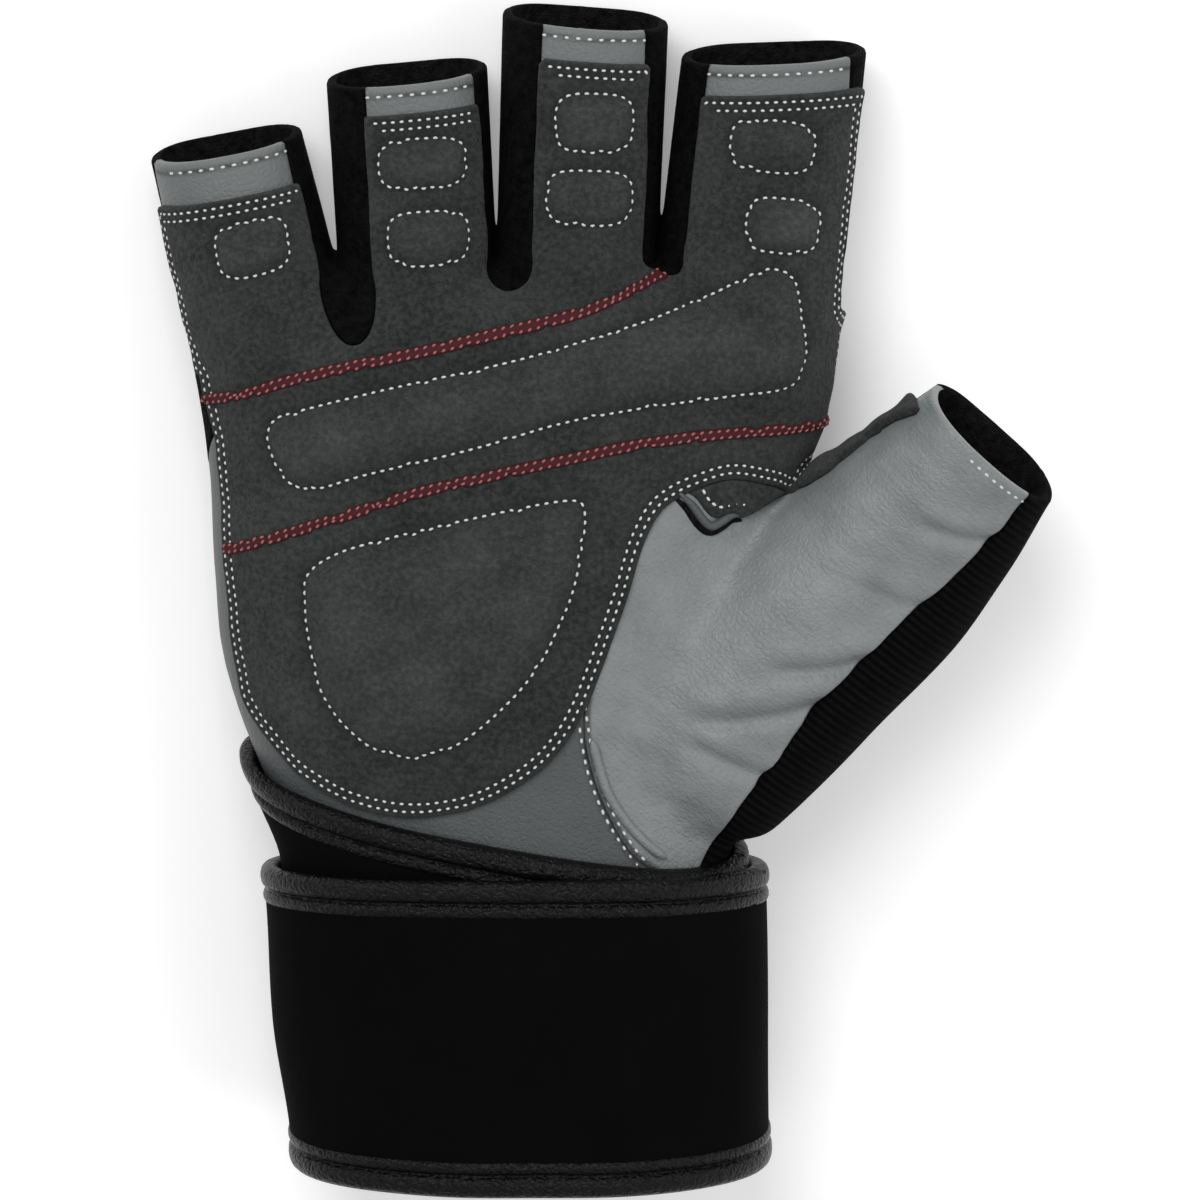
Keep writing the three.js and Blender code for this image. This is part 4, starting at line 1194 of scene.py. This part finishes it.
def suede_relief(skin):
    v = skin.values
    sewn = 1 - v["by_fork"]
    lift = SUEDE - roll(v["edge"], SUEDE_ROLL)
    row = np.minimum(np.abs(v["edge"] - STITCH_ROWS[0]), np.abs(v["edge"] - STITCH_ROWS[1]))
    row = np.where(sewn > 0.5, row, 10)
    lift -= 0.22 * bell(row, 0.4)
    near_pad = np.full(len(lift), 10.0)
    for name in PAD_NAMES:
        near_pad = np.minimum(near_pad, np.abs(v[name] - 0.5))
    lift -= 0.5 * bell(near_pad, 0.9)
    lift += 0.3 * waves(skin.points, 17, 11) + 0.12 * waves(skin.points, 7, 14)
    lift += 0.10 * bell(v["edge"] - 1.8, 2.5) * waves(skin.points, 5.0, 12)
    # The distance to the nearest stitch row or pad edge, which the finish darkens as painted shade.
    v["row"] = np.minimum(row, near_pad)
    v["worn"] = np.clip(0.3 * waves(skin.points, 16, 13), 0, 1)
    return lift


suede_skin.values["lift"] = suede_relief(suede_skin)
lift = suede_skin.values["lift"]
points, faces, _ = shell(suede_skin, lift, np.full(len(lift), SUEDE_SUNK), closed=False)
piece("suede_overlay", points, faces, [SUEDE_FINISH], ["suede_overlay"],
      suede_skin.twice(("row", "worn")))
suede_surface = surface(suede_skin)

# %% Domed pads
def dome(distance, rise, softness):
    return rise * (1 - np.exp(-distance / softness))


ROW_ROUND_PAD, FILLED_FROM = 0.55, 0.6  # the stitch row's inset; the height where a pad's shell starts
# rise, softness, rounds of averaging, reach of the wear, of a large and of a small pad
PAD_FORMS = {True: (PAD_RISE, 2.6, 12, 5), False: (1.6, 1.8, 6, 3.2)}
sewn_on = {}
for name in PAD_NAMES:
    rise, softness, rounds, worn_reach = PAD_FORMS[name in LARGE_PADS]
    pad = with_rim(suede_skin.inside(name), (0.3, 0.7, 1.2), name="inset")
    inset = pad.values["inset"]
    swell = np.where(inset < 0.01, 0, relax(dome(inset, rise, softness), pad.edges(), rounds))
    pad.values["lift"] = pad.values["lift"] - 0.3 + swell + 0.12 * waves(pad.points, 9, 21)
    pad.values["row"] = np.abs(inset - ROW_ROUND_PAD)
    worn = np.clip(inset / worn_reach, 0, 1) ** 0.8
    pad.values["worn"] = worn * (0.75 + 0.35 * waves(pad.points, 8, 22))
    points, faces, _ = shell(pad, pad.values["lift"], np.full(len(inset), FILLED_FROM))
    obj = piece(name, points, faces, [SUEDE_FINISH], [name], pad.twice(("row", "worn")))
    sewn_on[name] = surface(pad)

# %% Red strips
for name in RED_STRIPS:
    strip = with_rim(suede_skin.inside(name), (0.25, 0.55), name="inset")
    strip.values["lift"] = strip.values["lift"] + 0.45 - roll(strip.values["inset"], 0.6)
    # Dark at the strip's rolled edges and lighter towards its middle: painted shade.
    strip.values["crest"] = np.clip(strip.values["inset"] * 0.6, 0, 1)
    points, faces, _ = shell(strip, strip.values["lift"], np.full(len(strip.points), FILLED_FROM))
    piece(name, points, faces, [RED_STRIP], [name], strip.twice(("crest",)))
    sewn_on[name] = surface(strip)

# %% [markdown]
# ## The web strip and the piping
# A narrow strip of suede crosses the web between the thumb and the index finger. A thin roll of leather,
# the piping, lies beside the thumb's seam. The strip is one more region of the skin. The piping is a
# round rod swept along its line, half sunk into the leather.

# %% Web strip
web_skin = trim(trim(trim(whole, "web"), "above_thumb_seam"), "suede", -1)
web_skin = with_rim(finer(web_skin), (0.2, 0.5, 0.9))
lift = SUEDE - roll(web_skin.values["edge"], SUEDE_ROLL) + 0.25 * waves(web_skin.points, 8, 31)
web_skin.values["row"] = np.full(len(lift), NO_ROW)
web_skin.values["worn"] = np.zeros(len(lift))
points, faces, _ = shell(web_skin, lift, np.full(len(lift), SUEDE_SUNK))
piece("thumb_web", points, faces, [SUEDE_FINISH], ["thumb_web"], web_skin.twice(("row", "worn")))


# %% Lines laid on the skin
def laid_on(line, lift=0.0):
    """A plan line dropped onto the hand: points there, and the hand's normals."""
    points, normals = [], []
    for x, y in line:
        hit, normal, _, _ = hand_tree.ray_cast(Vector((x, y, 200.0)), Vector((0, 0, -1)))
        if hit is not None:
            points.append(hit + normal * lift)
            normals.append(normal)
    return np.array(points), np.array(normals)


def beside(line, offset):
    """The plan line moved sideways, to the left of its way."""
    way = unit(np.gradient(line, axis=0))
    return line + offset * np.column_stack([-way[:, 1], way[:, 0]])


def in_threes(faces):
    """Triangles from faces with three or four corners."""
    threes = []
    for face in faces:
        threes.append(face[:3])
        if len(face) == 4:
            threes.append([face[0], face[2], face[3]])
    return np.array(threes)


def rod(line, normals, radius, sides=10, ends=1.5):
    """A round rod along a line, tapered at both ends."""
    way = unit(np.gradient(line, axis=0))
    side = unit(np.cross(way, normals))
    up = np.cross(side, way)
    run = np.concatenate([[0], np.cumsum(np.linalg.norm(np.diff(line, axis=0), axis=1))])
    taper = np.sqrt(np.clip(np.minimum(run, run[-1] - run) / ends, 0.0, 1) * 0.9 + 0.1)
    t = np.arange(sides) * 2 * math.pi / sides
    out = side[:, None] * np.cos(t)[:, None] + up[:, None] * np.sin(t)[:, None]
    points, faces = closed_tube(line[:, None] + out * (radius * taper)[:, None, None])
    return points, in_threes(faces)


piping_line = smooth_line(placed(PIPING), step=0.6)
piping_points, piping_normals = laid_on(piping_line, 0.25)
steps = np.arange(len(piping_points))
piping_points = relax(piping_points, np.stack([steps[:-1], steps[1:]], 1), 3)
points, faces = rod(piping_points, piping_normals, 0.85)
# The piping takes the thumb's leather, and with it that leather's painted highlight.
piece("thumb_piping", points, faces, [THUMB_LEATHER], ["thumb_piping"],
      {"row": np.full(len(points), NO_ROW)})

# %% The folded end of the web strip
fold_line = smooth_line(placed(WEB_FOLD), step=0.5)
# A roll of leather for the fold's grey lip, and beside it a dark rod in the lining's finish: painted shadow
# laid in the slit, where there is only shade.
for name, lift, aside, material, slot in (
        ("web_fold", 0.9, 0.45, PALM_LEATHER, "leather"), ("web_slit_shadow", 0.1, -0.55, LINING, "knit")):
    points, faces = rod(*laid_on(beside(fold_line, aside), lift), 0.75, ends=4.0)
    piece(name, points, faces, [material], (), {"row": np.full(len(points), NO_ROW)})

# %% [markdown]
# ## The wrist wrap
# The wrap is a long strip of neoprene wound twice round the wrist, each turn with a thick bound edge.
# Its edges slant, so each turn is built from the slanting edge inwards: a profile is carried round the
# wrist, and each of its points keeps a set distance from the edge and from the glove's body. The bound
# edge has a fat ridge, a stitched groove and a thin ridge.

# %% Profiles round the wrist
ROUND = 320
AROUND = np.arange(ROUND) * 2 * math.pi / ROUND


def pushed_out(points, least):
    """Moves points that come too near to the body's skin out to that distance."""
    for i in np.flatnonzero((points[:, 0] > 10) & (points[:, 1] > 30)):
        spot = Vector(points[i])
        near, normal, _, distance = hand_tree.find_nearest(spot, 14.0)
        if near is None:
            continue
        inside = (spot - near).dot(normal) < 0
        if inside or distance < least[i]:
            points[i] = near + normal * least[i]
    return points


def carried_round(profile, edge):
    """A closed profile of (distance from the edge, distance from the body) carried round the wrist."""
    drop, grow = (np.repeat(c[:, None], ROUND, 1) for c in np.array(profile).T)
    angle = np.repeat(AROUND[None], len(profile), 0)
    base, slant, dip = edge
    y = base - drop
    for _ in range(8):
        p = palm_section(y, angle, grow)
        y = base + slant * p[..., 0] + dip * p[..., 2] - drop
    p = palm_section(y, angle, grow)
    soften = 0.35 * waves(p.reshape(-1, 3), 30, 41).reshape(y.shape)
    p = palm_section(y, angle, grow + soften * (p[..., 2] > 6))
    flat = pushed_out(p.reshape(-1, 3), np.maximum(grow.ravel(), 0.2))
    m = len(profile)
    r, i = (g.ravel() for g in np.meshgrid(np.arange(m), np.arange(ROUND), indexing="ij"))
    a, b = r * ROUND + i, r * ROUND + (i + 1) % ROUND
    c, d = ((r + 1) % m) * ROUND + i, ((r + 1) % m) * ROUND + (i + 1) % ROUND
    faces = np.concatenate([np.stack([a, b, d], 1), np.stack([a, d, c], 1)])
    return flat, faces


def sheet_profile(low, high, inner, outer, step=1.5):
    """A flat wall from one distance below the edge to another, with rounded ends."""
    count = max(int(abs(high - low) / step), 2)
    out = [(v, outer) for v in np.linspace(high, low, count)]
    middle, half = (inner + outer) / 2, (outer - inner) / 2
    turns = (0.9, 0.3, -0.3, -0.9)
    turn = [(low - half * math.cos(t) * 0.8, middle + half * math.sin(t)) for t in turns]
    back = [(v, inner) for v in np.linspace(low, high, count)]
    turn_back = [(high + half * math.cos(t) * 0.8, middle + half * math.sin(t)) for t in turns[::-1]]
    return out + turn + back + turn_back


# %% Neoprene and bindings
TURN_ONE, TURN_TWO = (0.3, 2.7), (3.5, 5.9)
FIRST_EDGE = (67.2, -0.186, -0.16)
WRAP_EDGE = (50.3, 0.0, 0.11)
LOWER_EDGE = (0.0, 0.0, 0.0)
# distance from the edge, rise over the neoprene
BOUND_EDGE = [(0.0, -1.6), (0.02, -0.9), (0.25, -0.25), (0.7, 0.22), (1.3, 0.46), (2.0, 0.55),
              (2.7, 0.5), (3.2, 0.3), (3.5, -0.1), (3.7, -0.45), (3.9, -0.45), (4.1, -0.1),
              (4.4, 0.22), (4.9, 0.38), (5.4, 0.36), (5.8, 0.2), (6.1, -0.15), (6.2, -0.6)]
STRETCH, GROOVE, COVERED = 1.07, 3.8, 5.6  # of the profile; the groove's place; neoprene starts here


def bound_profile(turn, flip=False):
    inner, outer = turn
    rows = [(v * STRETCH, outer + rise) for v, rise in BOUND_EDGE]
    rows += [(6.2, inner + 0.2), (6.0, inner), (3.0, inner), (0.4, inner), (0.08, inner + 0.35)]
    rows = rows[::-1]
    if flip:
        rows = [(-v, g) for v, g in rows][::-1]
    return rows


def binding_values(profile):
    row = np.array([min(abs(abs(v) - GROOVE), NO_ROW) for v, _ in profile])
    return {"row": np.repeat(row, ROUND)}


wrap_pieces = [
    ("wrap_inner_binding", bound_profile(TURN_ONE), FIRST_EDGE),
    ("wrap_outer_binding_top", bound_profile(TURN_TWO), WRAP_EDGE),
    ("wrap_outer_binding_bottom", bound_profile(TURN_TWO, True), LOWER_EDGE),
]
for name, profile, edge in wrap_pieces:
    points, faces = carried_round(profile, edge)
    piece(name, points, faces, [BINDING], [name], binding_values(profile))

points, faces = carried_round(sheet_profile(COVERED, 62.0, *TURN_ONE), FIRST_EDGE)
keep = (points[faces][:, :, 1] > 3.0).all(1)
piece("wrap_inner", points, faces[keep], [NEOPRENE], ["wrap_inner"])
points, faces = carried_round(sheet_profile(COVERED, 56.0, *TURN_TWO), WRAP_EDGE)
points[:, 1] = np.maximum(points[:, 1], COVERED)
piece("wrap_outer", points, faces, [NEOPRENE], ["wrap_outer"])


# %% Closure tab
TAB_WIDTH, TAB_LENGTH, TAB_PLACE, TAB_SQUARENESS = 58.0, 33.18, 24.79, 0.3
# inset, height: the tab's rounded edge from the floor up
TAB_EDGE = ((0.5, 0.0), (0.12, 0.25), (0.0, 0.7), (0.0, 1.3), (0.12, 1.75), (0.5, 2.0), (4.0, 2.0))


def squared(wave):
    return np.sign(wave) * np.abs(wave) ** TAB_SQUARENESS


rings = []
for inset, z in TAB_EDGE:
    x = squared(np.cos(TURN)) * (TAB_WIDTH / 2 - inset)
    y = squared(np.sin(TURN)) * (TAB_LENGTH / 2 - inset)
    rings.append(np.column_stack([x, y + TAB_PLACE, np.full(SIDES, z)]))
points, faces = closed_tube(np.stack(rings))
piece("wrap_tab", points, in_threes(faces)[:, ::-1], [NEOPRENE], ["wrap_tab"])

# %% [markdown]
# ## Sewing
# A stitch is a short loop of thread that dives into the leather at both ends. One small rounded grain
# is enough for each, bent so that its middle stands out and its ends sink in. Rows follow lines at a
# set distance from an edge: the line is found where that distance passes its level in each triangle.

# %% Level lines on a skin
def level_lines(skin, field, level):
    """Lines where the field has this level, each as points, normals and values on the way."""
    f = field - level
    f = np.where(np.abs(f) < 1e-7, 1e-7, f)
    s = f[skin.faces] > 0
    mixed_faces = skin.faces[s.any(1) & ~s.all(1)]
    if not len(mixed_faces):
        return []
    s = f[mixed_faces] > 0
    pairs = []
    for i, j in ((0, 1), (1, 2), (2, 0)):
        crossing = s[:, i] != s[:, j]
        pairs.append(np.where(crossing[:, None], np.sort(mixed_faces[:, [i, j]], 1), -1))
    stacked = np.stack(pairs, 1)
    real = stacked[:, :, 0] >= 0
    ends = stacked[real].reshape(-1, 2, 2)
    keys, back = np.unique(ends.reshape(-1, 2), axis=0, return_inverse=True)
    links = back.reshape(-1, 2)
    t = (f[keys[:, 0]] / (f[keys[:, 0]] - f[keys[:, 1]]))[:, None]
    points = skin.points[keys[:, 0]] * (1 - t) + skin.points[keys[:, 1]] * t
    normals = skin.values["normal"][keys[:, 0]] * (1 - t) + skin.values["normal"][keys[:, 1]] * t
    neighbours = {}
    for a, b in links.tolist():
        neighbours.setdefault(a, []).append(b)
        neighbours.setdefault(b, []).append(a)
    lines, seen = [], set()
    starts = [k for k, n in neighbours.items() if len(n) == 1] + list(neighbours)
    for start in starts:
        if start in seen:
            continue
        chain, here = [start], start
        seen.add(start)
        while True:
            onward = [n for n in neighbours[here] if n not in seen]
            if not onward:
                break
            here = onward[0]
            seen.add(here)
            chain.append(here)
        if len(neighbours[chain[-1]]) > 1 and chain[0] in neighbours[chain[-1]] and len(chain) > 3:
            chain.append(chain[0])
        if len(chain) > 3:
            lines.append((points[chain], normals[chain]))
    return lines


# %% Stitches along a line
def stitch_places(points, normals, pitch, allowed=None):
    """Centres, directions and normals of stitches evenly along a line."""
    lengths = np.concatenate([[0], np.cumsum(np.linalg.norm(np.diff(points, axis=0), axis=1))])
    count = int(lengths[-1] / pitch)
    if count < 1:
        return np.zeros((0, 3, 3))
    places = (np.arange(count) + 0.5) * lengths[-1] / count
    at = lambda s, a: np.stack([np.interp(s, lengths, a[:, k]) for k in range(3)], 1)
    centre = at(places, points)
    way = at(places + 0.5, points) - at(places - 0.5, points)
    out = np.stack([centre, unit(way), unit(at(places, normals))], 1)
    return out[allowed(centre)] if allowed is not None else out


STATIONS = np.array([-1.0, -0.75, 0.0, 0.75, 1.0])  # along a grain
FATNESS = np.array([0.4, 0.88, 1.06, 0.88, 0.4])
CORNERS, SUNK, UNEVEN = 6, 0.12, 0.05


def stitch_grains(places, length, width, height, slant, seed):
    """Joined grains of thread, one at each place."""
    random = np.random.default_rng(seed)
    count = len(places)
    t = np.arange(CORNERS) * 2 * math.pi / CORNERS
    x = np.repeat(STATIONS * length / 2, CORNERS)
    y = np.outer(FATNESS, np.cos(t)).ravel() * width / 2
    arch = np.repeat((1 - STATIONS**2) * height - SUNK, CORNERS)
    z = np.outer(FATNESS, np.sin(t)).ravel() * width / 2 * 0.8 + arch
    tilt = slant + random.normal(0, UNEVEN, count)
    size = 1 + random.normal(0, UNEVEN, count)
    centre, way, normal = places[:, 0], places[:, 1], places[:, 2]
    side = np.cross(normal, way)
    cos, sin = np.cos(tilt)[:, None], np.sin(tilt)[:, None]
    turned, beside_it = way * cos + side * sin, side * cos - way * sin
    points = (centre[:, None] + turned[:, None] * x[None, :, None] * size[:, None, None]
              + beside_it[:, None] * y[None, :, None] + normal[:, None] * z[None, :, None])
    # Zero at a stitch's ends and one across its middle: the mask for the painted shade and highlight on the
    # thread.
    crest = np.clip(np.tile(np.repeat(1 - np.abs(STATIONS) ** 3, CORNERS) * 1.3, count), 0, 1)
    last = (len(STATIONS) - 1) * CORNERS
    faces = []
    for r in range(0, last, CORNERS):
        for i in range(CORNERS):
            a, b = r + i, r + (i + 1) % CORNERS
            faces += [[a, b, b + CORNERS], [a, b + CORNERS, a + CORNERS]]
    for i in range(1, CORNERS - 1):
        faces += [[0, i + 1, i], [last, last + i, last + i + 1]]
    starts = np.arange(count) * len(STATIONS) * CORNERS
    return points.reshape(-1, 3), (np.array(faces)[None] + starts[:, None, None]).reshape(-1, 3), crest


def sew(name, rows, length, width, height, seed, slant=0.0, finish=WHITE_THREAD):
    places = np.concatenate(rows)
    points, faces, crest = stitch_grains(places, length, width, height, slant, seed)
    print(f"{name}: {len(places)} stitches")
    piece(name, points, faces, [finish], (), {"crest": crest})


def rows_at(skin, name, level, pitch, allowed=None):
    """A row of stitches along each line where the value has this level."""
    lines = level_lines(skin, skin.values[name], level)
    return [stitch_places(points, normals, pitch, allowed) for points, normals in lines]


# %% White rows on the suede
rim_tree = tree_of(rim)


def off_the_forks(points):
    return np.array([not rim_is_fork[rim_tree.find(p)[1]] for p in points], bool)


suede_rows = [row for level in STITCH_ROWS
              for row in rows_at(suede_surface, "edge", level, 1.5, off_the_forks)]
sew("suede_stitches", suede_rows, 0.8, 0.45, 0.18, seed=3)

# %% White rows round the pads
pad_rows = [row for name in PAD_NAMES for row in rows_at(sewn_on[name], "inset", ROW_ROUND_PAD, 1.55)]
sew("pad_stitches", pad_rows, 0.88, 0.46, 0.2, seed=4)

# %% Red rows
red_rows = [row for name in RED_STRIPS for row in rows_at(sewn_on[name], "inset", 0.5, 1.5)]
sew("red_stitches", red_rows, 0.85, 0.42, 0.2, 5, 0.5, RED_THREAD)

# %% Rows on the leather
band_rows = rows_at(surface(leather_skin), "opening", ROW_AT_OPENING, 1.9, lambda p: p[:, 2] > 21.5)
band_rows += rows_at(surface(thumb_leather_skin), "opening", ROW_AT_OPENING, 1.6,
                     lambda p: (p[:, 0] > 76) & (p[:, 2] > 36))
sew("band_stitches", band_rows, 0.9, 0.45, 0.16, seed=6)

seam_line = smooth_line(placed(SEAM_ROWS), step=0.5)
seam_rows = [stitch_places(*laid_on(beside(seam_line, aside)), 1.85) for aside in (0.72, -0.72)]
seam_rows.append(stitch_places(*laid_on(smooth_line(placed(WEB_ROW), step=0.5), SUEDE), 1.3))
sew("thumb_seam_stitches", seam_rows, 1.0, 0.5, 0.2, seed=7)

# %% [markdown]
# ## Floor and light
# A catalogue photo has a white ground and soft light from all sides, a little stronger from above the
# fingertips. A pale floor and a bright world give the even part, one large lamp gives the sheen on the
# leather, and a weaker one beside it fills the shadows.

# %% Floor
floor_mesh = bpy.data.meshes.new("floor")
floor_mesh.from_pydata([(-3, -3, 0), (3, -3, 0), (3, 3, 0), (-3, 3, 0)], [], [(0, 1, 2, 3)])
floor = bpy.data.objects.new("floor", floor_mesh)
floor_finish, _, _ = new_material("floor", Base_Color=(0.97, 0.97, 0.97, 1), Roughness=0.95,
                                  Emission_Color=(1, 1, 1, 1), Emission_Strength=0.22)
floor_mesh.materials.append(floor_finish)
bpy.context.scene.collection.objects.link(floor)


# %% Lamps and world
def lamp(name, place_at, size, power):
    light = bpy.data.lights.new(name, "AREA")
    light.shape, light.size, light.energy = "SQUARE", size, power
    obj = bpy.data.objects.new(name, light)
    obj.location = place_at
    obj.rotation_euler = (TARGET - Vector(place_at)).to_track_quat("-Z", "Y").to_euler()
    bpy.context.scene.collection.objects.link(obj)


lamp("key", (-0.25, 0.75, 1.05), 0.7, 9)
lamp("fill", (0.8, -0.2, 0.9), 0.8, 3)
world = bpy.data.worlds.new("studio")
world.use_nodes = True
background = world.node_tree.nodes["Background"]
background.inputs["Color"].default_value = (1, 1, 1, 1)
background.inputs["Strength"].default_value = 0.5
bpy.context.scene.world = world
bpy.context.scene.view_settings.view_transform = "Standard"
print("lamps: 2, world strength 0.5")

# %% The end
bpy.context.view_layer.update()
